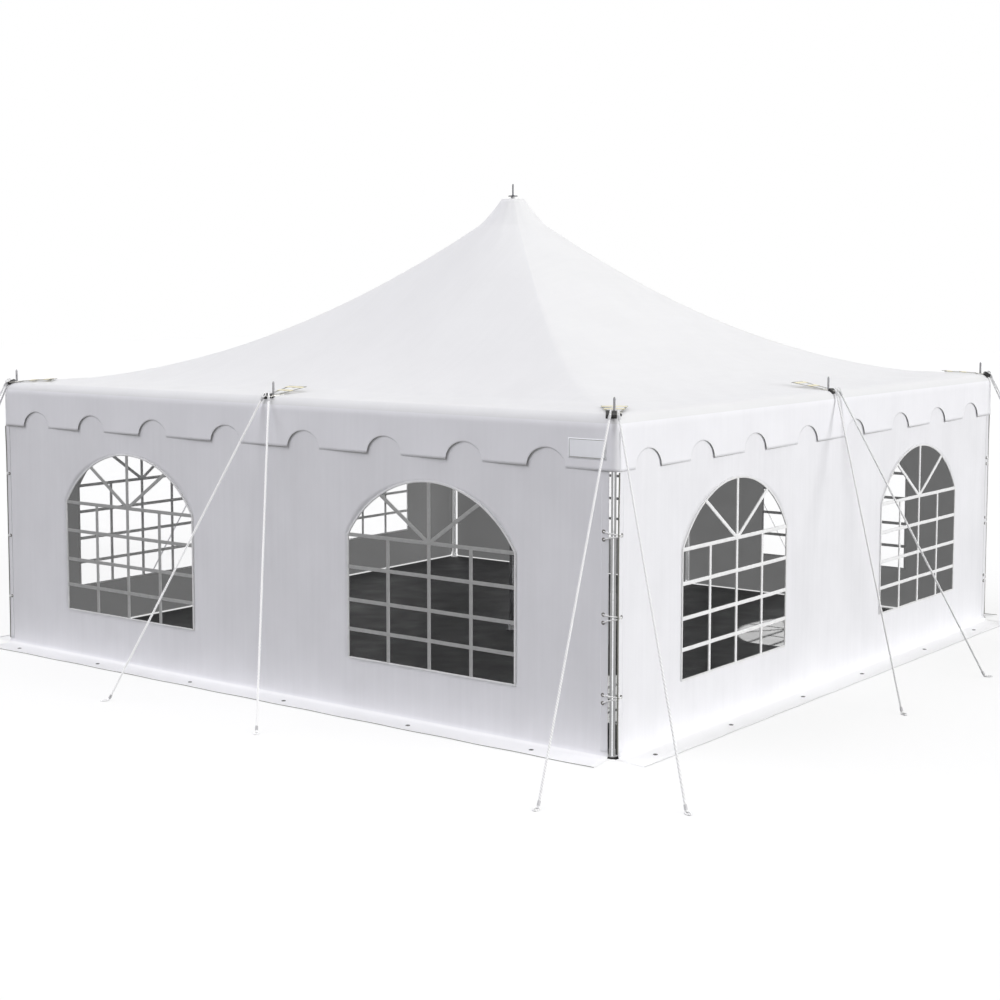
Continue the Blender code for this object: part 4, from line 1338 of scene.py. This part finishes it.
def head_frame(k, corner):
    """Origin, axes and way out of a head plate: X runs inwards up the slope, Y across, Z out of the cloth."""
    facing = math.radians((-45 + CORNER_TURN if corner else -90) + 90 * k)
    tilt = math.atan(ROOF_SLOPE * (CORNER_RUN if corner else 1.0))
    outward_way = np.array([math.cos(facing), math.sin(facing), 0.0])
    inward = -outward_way * math.cos(tilt) + [0, 0, math.sin(tilt)]
    across_way = np.cross([0, 0, 1.0], -outward_way)
    spot = pole_spot(k, corner) + [0, 0, roof_at(POLE_LINE) + PLATE_SEAT]
    return spot, np.stack([inward, across_way, np.cross(inward, across_way)], axis=1), outward_way


def rope_ends(k, corner, hand):
    """Ends of a rope's centre line: seated on the ear's outer edge, and on the ground at the foot."""
    spot, axes, outward_way = head_frame(k, corner)
    aside = np.array([-outward_way[1], outward_way[0], 0.0])
    foot = spot * [1, 1, 0] + outward_way * ROPE_OUT[corner] + aside * hand * ROPE_ASIDE[corner]
    ear = spot + axes @ [PLATE_OUTER - EAR_REACH, -hand * EAR_CENTRE, PLATE / 2]
    run = unit(foot - ear)
    slant = run @ outward_way
    level, across_share = math.hypot(run[0], run[1]), math.sqrt(1 - slant * slant)
    start = ear + outward_way * (ROPE_RADIUS * across_share + ROPE_SEAT)
    start[2] += ROPE_RADIUS * slant * -run[2] / across_share
    return start, foot + [0, 0, ROPE_RADIUS * level]


print("slope under the heads:", round(math.degrees(math.atan(ROOF_SLOPE)), 1), "degrees")

# %% [markdown]
# Two guy ropes run from every head plate to the ground. Each is three strands laid together, so the
# section is a circle with three lobes that turns as it goes along the rope. Both ends are knotted
# into an eye: one through the plate's ear, and one at the ground for the peg, which the picture
# leaves out.

# %% Guy ropes
ROPE_LAY, ROPE_SIDES, ROPE_RING_STEP = 0.034, 12, 0.009
LOBE_MEAN, LOBE_DEPTH = 0.93, 0.07
ROPE_REFERENCE = (0.31, 0.17, 0.94)      # along none of the ropes
TOP_EYE = (0.016, 0.0100, 0.0038)        # half length, half width and radius of its cord
FOOT_EYE = (0.030, 0.017, 0.0048)
TOP_EYE_BACK, FOOT_EYE_OUT, FOOT_EYE_HIGH = 0.008, 0.026, 0.0052
WHIPPING_LENGTH, WHIPPING_TURNS = 0.030, 8
EYE_STEPS = 28


def laid_rope(path):
    """A tube whose radius varies with cos(3 * turn - 2 pi run / lay), which makes three strands."""
    tangent = directions(path)
    side = unit(np.cross(tangent, ROPE_REFERENCE))
    turn = np.arange(ROPE_SIDES) * 2 * math.pi / ROPE_SIDES
    wave = np.cos(3 * (turn - 2 * math.pi * run_along(path)[:, None] / (3 * ROPE_LAY)))
    lobes = ROPE_RADIUS * (LOBE_MEAN + LOBE_DEPTH * wave)
    return carried(path, side, np.cross(side, tangent), circle(ROPE_SIDES) * lobes[..., None])


def eye_loop(middle, long_way, short_way, long_half, short_half, radius):
    """An eye at a rope's end: a closed tube on an ellipse about its middle."""
    places = circle(EYE_STEPS)
    path = middle + long_half * places[:, :1] * long_way + short_half * places[:, 1:] * short_way
    return tube(path, radius, 8, True, reference=np.cross(long_way, short_way))


def whipping(start, run):
    """Twine wound round the rope where the eye closes: a short tube that swells at each turn."""
    along = np.linspace(0, WHIPPING_LENGTH, 49)
    swell = np.abs(np.sin(np.pi * WHIPPING_TURNS * along / WHIPPING_LENGTH))
    return tube(start + run * along[:, None], ROPE_RADIUS + 0.0018 + 0.0007 * swell, 10)


def guy_rope(k, corner, hand):
    """One rope: an even straight path between its ends, with an eye and whipping at both."""
    start, end = rope_ends(k, corner, hand)
    length = np.linalg.norm(end - start)
    run = (end - start) / length
    plate_up = head_frame(k, corner)[1][:, 2]
    plate_way = unit(plate_up - run * (plate_up @ run))
    level = unit(run * [1, 1, 0])
    foot_middle = end * [1, 1, 0] + level * FOOT_EYE_OUT + [0, 0, FOOT_EYE_HIGH]
    top_eye = eye_loop(start - run * TOP_EYE_BACK, run, plate_way, *TOP_EYE)
    foot_eye = eye_loop(foot_middle, level, np.cross([0, 0, 1.0], level), *FOOT_EYE)
    rope = laid_rope(np.linspace(start, end, int(length / ROPE_RING_STEP)))
    wound = joined(whipping(start + run * 0.012, run), whipping(end - run * 0.045, run))
    return joined(rope, top_eye, foot_eye), wound, length


lengths = []
for k, corner in HEADS:
    for hand, letter in ((-1, "a"), (1, "b")):
        name = f"{head_name(k, corner)}_{letter}"
        rope, wound, length = guy_rope(k, corner, hand)
        lengths.append(length)
        # painted light: the middle ropes of the front and back glow
        shapes = [(rope, rope_fibre if corner or k % 2 else middle_rope_painted_glow), (wound, thread)]
        make_piece(f"laid_rope_{name}", shapes, (f"guy_rope_{name}",), sharp=80)
print("ropes:", len(lengths), "from", round(min(lengths), 3), "to", round(max(lengths), 3), "m")

# %% [markdown]
# Each side pole is two tubes that slide together, on a round foot. A snap button locks the joint. The
# tube ends in a shoulder under the cloth, and a pin goes on through the cloth and the head plate. A
# profile turned about the pole's axis gives it all in one closed shape. Each stretch of the profile
# is written as a main radius and height, with the small steps of its edges from there.

# %% Side poles
FOOT = 0.0023                # top of the ground sheet
UNDER_CLOTH = 0.0003         # of a pole's shoulder from the cloth that it carries
FOOT_RADIUS, SLEEVE_RADIUS, SLEEVE_TOP = 0.035, 0.0215, 0.0507
POLE_RADIUS, POLE_UPPER_RADIUS, POLE_JOINT = 0.0190, 0.0175, 1.06
POLE_NECK, SPIGOT_RADIUS = 2.168, 0.0110
PIN_RADIUS, PIN_SLEEVE_RADIUS, PIN_TOP = 0.0060, 0.0086, 2.31
BUTTON_RADIUS, BUTTON_OUT, BUTTON_FACING = 0.0042, 0.0032, -0.9


def stepped(radius, height, steps):
    """Rows of a profile: small steps, in radius and height, from one radius and height."""
    return [(radius + wider, height + higher) for wider, higher in steps]


def tube_profile(top):
    """Radius and height of a side pole, from the foot's rim up to the top of the spigot."""
    rim = [(-0.005, 0), (-0.001, 0.0006), (0, 0.0016), (0, 0.004), (-0.0012, 0.005)]
    rows = stepped(FOOT_RADIUS, FOOT, rim)
    rows += stepped(SLEEVE_RADIUS, FOOT, [(0.002, 0.0062), (0, 0.009)])
    rows += stepped(SLEEVE_RADIUS, SLEEVE_TOP, [(0, -0.0017), (-0.0007, -0.0004), (-0.0025, 0)])
    rows += stepped(POLE_RADIUS, POLE_JOINT, [(0, -0.020), (0.0004, -0.014), (0.0004, -0.004), (-0.0004, 0)])
    rows += [(POLE_UPPER_RADIUS, POLE_JOINT + 0.0005)]
    rows += stepped(POLE_UPPER_RADIUS, POLE_NECK, [(0, 0), (-0.0009, 0.006), (-0.005, 0.012)])
    return rows + [(SPIGOT_RADIUS, POLE_NECK + 0.015), (SPIGOT_RADIUS, top)]


def pin_profile(top):
    """Radius and height of the pin, from the spigot through the plate and its sleeve up to the tip."""
    plate_top = roof_at(POLE_LINE) + PLATE_SEAT + PLATE + 0.0012
    rows = [(PIN_RADIUS, top - 0.0005), (PIN_RADIUS, plate_top), (PIN_SLEEVE_RADIUS, plate_top + 0.0003)]
    rows += stepped(PIN_SLEEVE_RADIUS, PIN_TOP, [(0, -0.010), (-0.002, -0.0094)])
    return rows + stepped(PIN_RADIUS, PIN_TOP, [(0.0002, -0.003), (-0.0025, 0)])


def snap_button(radius, height):
    """A small dome that stands out of the tube at a height, turned from a quarter-circle profile."""
    turn = np.linspace(0, math.pi / 2 - 0.1, 6)
    quarter = np.stack([BUTTON_RADIUS * np.cos(turn), BUTTON_OUT * np.sin(turn)], axis=1)
    out_way = np.array([math.cos(BUTTON_FACING), math.sin(BUTTON_FACING), 0.0])
    axes = np.stack([np.cross([0, 0, 1.0], out_way), [0, 0, 1.0], out_way], axis=1)
    dome = turned([(BUTTON_RADIUS, -0.002), *quarter], 16)
    return placed(dome, axes, out_way * (radius - 0.0004) + [0, 0, height])


shoulder = roof_at(POLE_LINE + SPIGOT_RADIUS) - CLOTH * math.hypot(1, ROOF_SLOPE) - UNDER_CLOTH
side_pole = joined(turned(tube_profile(shoulder), 40), snap_button(POLE_RADIUS, 1.018))
side_pin = turned(pin_profile(shoulder), 24)
for k, corner in HEADS:
    name, spot = head_name(k, corner), pole_spot(k, corner)
    shapes = [(placed(side_pole, TURNS[k], spot), plated_steel_painted_glow), (placed(side_pin, TURNS[k], spot), pin_steel)]
    make_piece(f"side_pole_{name}", shapes, (f"pole_{name}",), sharp=50)
print("side poles:", len(HEADS), "of", len(side_pole[0]), "points, shoulder at", round(shoulder, 3), "m")

# %% [markdown]
# The centre pole is the same, only thicker, and ends in a disc that holds up the peak. Its pin goes
# on through the cloth, where a small hub and plate sit on top. A white ring lies round its foot.

# %% Centre pole and peak
CENTRE_FOOT_RADIUS, CENTRE_SLEEVE_RADIUS, CENTRE_SLEEVE_TOP = 0.055, 0.030, 0.0612
CENTRE_RADIUS, CENTRE_UPPER_RADIUS, CENTRE_JOINT = 0.025, 0.0235, 1.90
DISC_RADIUS, DISC_TOP = 0.088, PEAK_TOP - CLOTH - UNDER_CLOTH
CENTRE_PIN_RADIUS, CENTRE_PIN_TOP = 0.0062, 3.860
HUB_RADIUS, HUB_TOP = 0.0180, 3.7542
PEAK_PLATE_RADIUS, PEAK_PLATE_TOP = 0.040, 3.7622

rim = [(-0.005, 0), (-0.001, 0.0006), (0, 0.002), (0, 0.005), (-0.0014, 0.006)]
collar = [(0, -0.020), (0.0005, -0.014), (0.0005, -0.002), (-0.0004, 0.002)]
rows = stepped(CENTRE_FOOT_RADIUS, FOOT, rim)
rows += stepped(CENTRE_SLEEVE_RADIUS, FOOT, [(0.003, 0.0075), (0, 0.011)])
rows += stepped(CENTRE_SLEEVE_RADIUS, CENTRE_SLEEVE_TOP, [(0, -0.0032), (-0.0008, -0.0007), (-0.005, 0)])
rows += stepped(CENTRE_RADIUS, CENTRE_JOINT, collar)
rows += [(CENTRE_UPPER_RADIUS, CENTRE_JOINT + 0.0025)]
rows += stepped(CENTRE_UPPER_RADIUS, DISC_TOP, [(0, -0.032), (0.0025, -0.027)])
rows += stepped(DISC_RADIUS, DISC_TOP, [(-0.004, -0.007), (0, -0.005), (0, 0)])
pin_rows = [(0.012, DISC_TOP - 0.002), (CENTRE_PIN_RADIUS, DISC_TOP - 0.0019)]
pin_rows += stepped(CENTRE_PIN_RADIUS, CENTRE_PIN_TOP, [(0, -0.007), (-0.001, -0.003), (-0.0032, 0)])
centre_tube = joined(turned(rows, 48), snap_button(CENTRE_RADIUS, 1.855))
foot_ring = ring_shape(0.0300, 0.0345, 0.010, 0.046, 40)
centre_parts = [(centre_tube, deep_pole_steel_painted_shade), (turned(pin_rows, 24), peak_steel), (foot_ring, border_white)]
make_piece("centre_pole", centre_parts, ("pole_centre",), sharp=50)

hub_rows = stepped(HUB_RADIUS, HUB_TOP, [(-0.0005, -0.0219), (0, -0.0214), (0, -0.0007), (-0.0005, 0)])
plate_steps = [(-0.003, -0.0080), (0, -0.0070), (0, -0.0022), (-0.003, -0.0002)]
plate_rows = stepped(PEAK_PLATE_RADIUS, PEAK_PLATE_TOP, plate_steps)
plate_rows += [(0.014, PEAK_PLATE_TOP), (0.011, PEAK_PLATE_TOP + 0.0038), (0.007, PEAK_PLATE_TOP + 0.0040)]
cap_parts = [(turned(hub_rows), border_white), (turned(plate_rows), peak_steel)]
make_piece("peak_cap", cap_parts, ("peak_plate",), sharp=50)
print("centre pole:", len(centre_tube[0]), "points, disc at", round(DISC_TOP, 3), "m")

# %% [markdown]
# A head fitting holds the cloth down on each pin: a steel plate under the pin's sleeve, grey straps
# that spread from it up the slope, two bands of yellow webbing across them, and black clamp blocks
# and a small knob at the outer end, where the straps are pulled tight. All of it is made in the
# plate's own frame, X up the slope, Y across and Z out of the cloth, and then placed on each head.

# %% Parts of a head fitting
PLATE_EDGE = [(-0.070, 0.016), (-0.070, 0.036), (-0.050, 0.042), (0.050, 0.0535)]     # one half of it
RIVET_AT, RIVET_ASIDE = 0.036, 0.036
STRAP_HEIGHTS, INNER_HEIGHTS = (0.0042, 0.0072), (0.0050, 0.0080)
BAND_HEIGHTS, CENTRE_HEIGHTS = (0.0074, 0.0098), (0.0050, 0.0072)
SIDE_STRAP_WIDTH, INNER_STRAP_WIDTH, BAND_WIDTH, CENTRE_STRAP_WIDTH = 0.015, 0.013, 0.044, 0.022
STRAPS_END, STRAPS_END_HALF = 0.314, 0.083
BANDS_AT = ((0.275, 0.083), (0.150, 0.068))       # place up the slope, and half length
CLAMP_PITCH, CLAMP_BEVEL = 0.50, 0.003


def strap(start, end, width, heights, bow=0.0):
    """A flat band between two places of the plate's frame, with cut edges and a slight bow upwards."""
    low, high = heights
    share = np.linspace(0, 1, 9)[:, None]
    start, end = np.asarray(start, float), np.asarray(end, float)
    path = at_height(start + (end - start) * share, (low + 4 * bow * share * (1 - share))[:, 0])
    run = unit(end - start)
    half, thick, soft = width / 2, high - low, (high - low) * 0.35
    section = [(-half, soft), (-half + soft, 0), (half - soft, 0), (half, soft)]
    section += [(half, thick - soft), (half - soft, thick), (-half + soft, thick), (-half, thick - soft)]
    return carried(path, (-run[1], run[0], 0.0), (0.0, 0.0, 1.0), section)


def pitch(angle):
    """A turn about Y that points the -X end of a shape down by the angle, and its +X end up."""
    c, s = math.cos(angle), math.sin(angle)
    return np.array([[c, 0, -s], [0, 1, 0], [s, 0, c]])


def steel_parts():
    """The plate, a washer round the pin and two rivets."""
    outline = PLATE_EDGE + [(x, -y) for x, y in PLATE_EDGE[::-1]]
    washer = ring_shape(0.0090, 0.0150, PLATE, PLATE + 0.0012, 24)
    rivet = turned([(0.0035, 0), (0.0030, 0.0012), (0.001, 0.0018)], 12)
    rivets = [placed(rivet, np.eye(3), [RIVET_AT, y, PLATE]) for y in (-RIVET_ASIDE, RIVET_ASIDE)]
    return joined(slab(outline, 0.0, PLATE), washer, *rivets)


def grey_straps():
    """Two straps that spread up the slope, and one across their upper ends."""
    spread = [((0.030, hand * 0.043), (0.322, hand * 0.0815)) for hand in (-1, 1)]
    sides = [strap(start, end, SIDE_STRAP_WIDTH, STRAP_HEIGHTS) for start, end in spread]
    ends = ((STRAPS_END, -STRAPS_END_HALF), (STRAPS_END, STRAPS_END_HALF))
    return joined(*sides, strap(*ends, INNER_STRAP_WIDTH, INNER_HEIGHTS))


def clamp_blocks():
    """Two clamp blocks and a knob, all pitched the same way over the plate's outer edge."""
    big = block((-0.027, -0.0185, -0.016), (0.027, 0.0185, 0.015), CLAMP_BEVEL)
    small = block((-0.026, -0.0170, -0.015), (0.026, 0.0170, 0.014), CLAMP_BEVEL)
    knob = turned([(0.0060, -0.009), (0.0075, -0.007), (0.0075, 0.005), (0.0055, 0.008), (0.002, 0.009)], 20)
    spots = ((-0.052, 0.036, -0.001), (-0.051, 0.001, -0.002), (-0.060, -0.040, -0.002))
    return joined(*(placed(part, pitch(CLAMP_PITCH), spot) for part, spot in zip((big, small, knob), spots)))


cross_bands = joined(*(strap((x, -half), (x, half), BAND_WIDTH, BAND_HEIGHTS, 0.002) for x, half in BANDS_AT))
centre_strap = strap((0.046, 0.0), (0.300, 0.0), CENTRE_STRAP_WIDTH, CENTRE_HEIGHTS)
print("clamp blocks:", len(clamp_blocks()[0]), "points")

# %% [markdown]
# At the middle of a side the straps are a little shorter and stand off the cloth, as they do in the
# picture. Only the steel plate lies on the slope at every head.

# %% Head fittings
MIDDLE_LIFT, MIDDLE_LENGTH = np.radians(6), 0.84
soft_parts = [(grey_straps(), strap_and_shadow_grey), (cross_bands, webbing), (clamp_blocks(), black_plastic)]
soft_parts.append((centre_strap, lace_fibre))
for k, corner in HEADS:
    name = head_name(k, corner)
    spot, axes, _ = head_frame(k, corner)
    stance = np.eye(3) if corner else pitch(MIDDLE_LIFT) @ np.diag([MIDDLE_LENGTH, 1.0, 1.0])
    shapes = [(placed(steel_parts(), axes, spot), zinc_plate)]
    shapes += [(placed(shape, axes @ stance, spot), finish) for shape, finish in soft_parts]
    make_piece(f"head_fitting_{name}", shapes, (f"head_plate_{name}",))
print("head fittings:", len(HEADS))

# %% [markdown]
# The stage is a pale floor that fades into white, as in a product picture. To the camera and in
# reflections it glows, so it stays white to the edges. To the light it is a matt grey floor that
# throws some light back up. The sky is even, and brighter to the camera than as a light.

# %% Floor and sky
FLOOR_HALF = 60
FLOOR_GREY, FLOOR_GLOW = (0.28, 0.28, 0.28, 1.0), (0.72, 0.72, 0.72, 1.0)
SKY_LIGHT = 0.30


def seen_directly(tree):
    """1 for what the camera sees, straight or in a reflection, and 0 for light that falls on things."""
    ray = add(tree, "ShaderNodeLightPath").outputs
    kinds = {"i0": ray["Is Camera Ray"], "i1": ray["Is Glossy Ray"]}
    return add(tree, "ShaderNodeMath", {"operation": "MAXIMUM"}, **kinds).outputs[0]


floor_values = {"Base_Color": FLOOR_GREY, "Roughness": 0.9, "Specular_IOR_Level": 0.0}
floor_values["Emission_Color"] = FLOOR_GLOW
stage_finish, stage_tree, stage_shader = start_finish("pale_stage", **floor_values)
stage_tree.links.new(seen_directly(stage_tree), stage_shader.inputs["Emission Strength"])
floor_mesh = bpy.data.meshes.new("pale_floor")
floor_corners = [(x, y, 0) for x, y in rectangle_about(FLOOR_HALF, FLOOR_HALF)]
floor_mesh.from_pydata(floor_corners, [], [(0, 1, 2, 3)])
floor_mesh.materials.append(stage_finish)
floor = bpy.data.objects.new("pale_floor", floor_mesh)
bpy.context.collection.objects.link(floor)

sky = bpy.data.worlds.new("even_sky")
bpy.context.scene.world = sky
sky.use_nodes = True
backdrop = sky.node_tree.nodes["Background"]
backdrop.inputs["Color"].default_value = WHITE
seen = seen_directly(sky.node_tree)
strength = add(sky.node_tree, "ShaderNodeMapRange", Value=seen, To_Min=SKY_LIGHT, To_Max=1.0)
sky.node_tree.links.new(strength.outputs["Result"], backdrop.inputs["Strength"])
bpy.context.scene.view_settings.view_transform = "Standard"
print("sky as a light:", SKY_LIGHT)

# %% [markdown]
# Three soft suns light the tent, from the front, the right and above. A fourth, small and strong,
# reaches only the ground sheet, where the light through the right wall's windows falls. The front sun
# leaves out the window bars, which the picture shows darker than the cloth beside them.

# %% Suns
WINDOW_SUN_RISE = math.radians(47)


def sun(name, towards, factor, soft):
    """A sun towards a direction. On white cloth that faces it, factor is the brightness that it gives."""
    light = bpy.data.lights.new(name, "SUN")
    light.energy = math.pi * factor
    light.angle = math.radians(soft)
    made = bpy.data.objects.new(name, light)
    bpy.context.collection.objects.link(made)
    made.rotation_euler = mathutils.Vector(towards).to_track_quat("Z", "Y").to_euler()
    return made


def limit_sun(light, name, pieces, leave_out):
    """Let a sun light only these pieces, or everything but them."""
    group = bpy.data.collections.new(name)
    for piece in pieces:
        group.objects.link(piece)
    if leave_out:
        for entry in group.collection_objects:
            entry.light_linking.link_state = "EXCLUDE"
    light.light_linking.receiver_collection = group


front_sun = sun("front_sun", (-0.35, -0.295, 0.33), factor=0.565, soft=60)
front_sun.data.color = (0.99, 0.985, 1.045)
sun("right_sun", (0.70, 0.15, 0.19), factor=0.81, soft=40)
sun("top_sun", (0.0, 0.0, 1.0), factor=0.20, soft=60)
through_window = (math.cos(WINDOW_SUN_RISE), 0.0, math.sin(WINDOW_SUN_RISE))
window_sun = sun("window_sun", through_window, factor=22.0, soft=1.0)
limit_sun(window_sun, "lit_through_window", [ground], leave_out=False)
limit_sun(front_sun, "not_lit_from_the_front", bar_pieces, leave_out=True)
print("suns:", sum(light.type == "SUN" for light in bpy.data.lights))
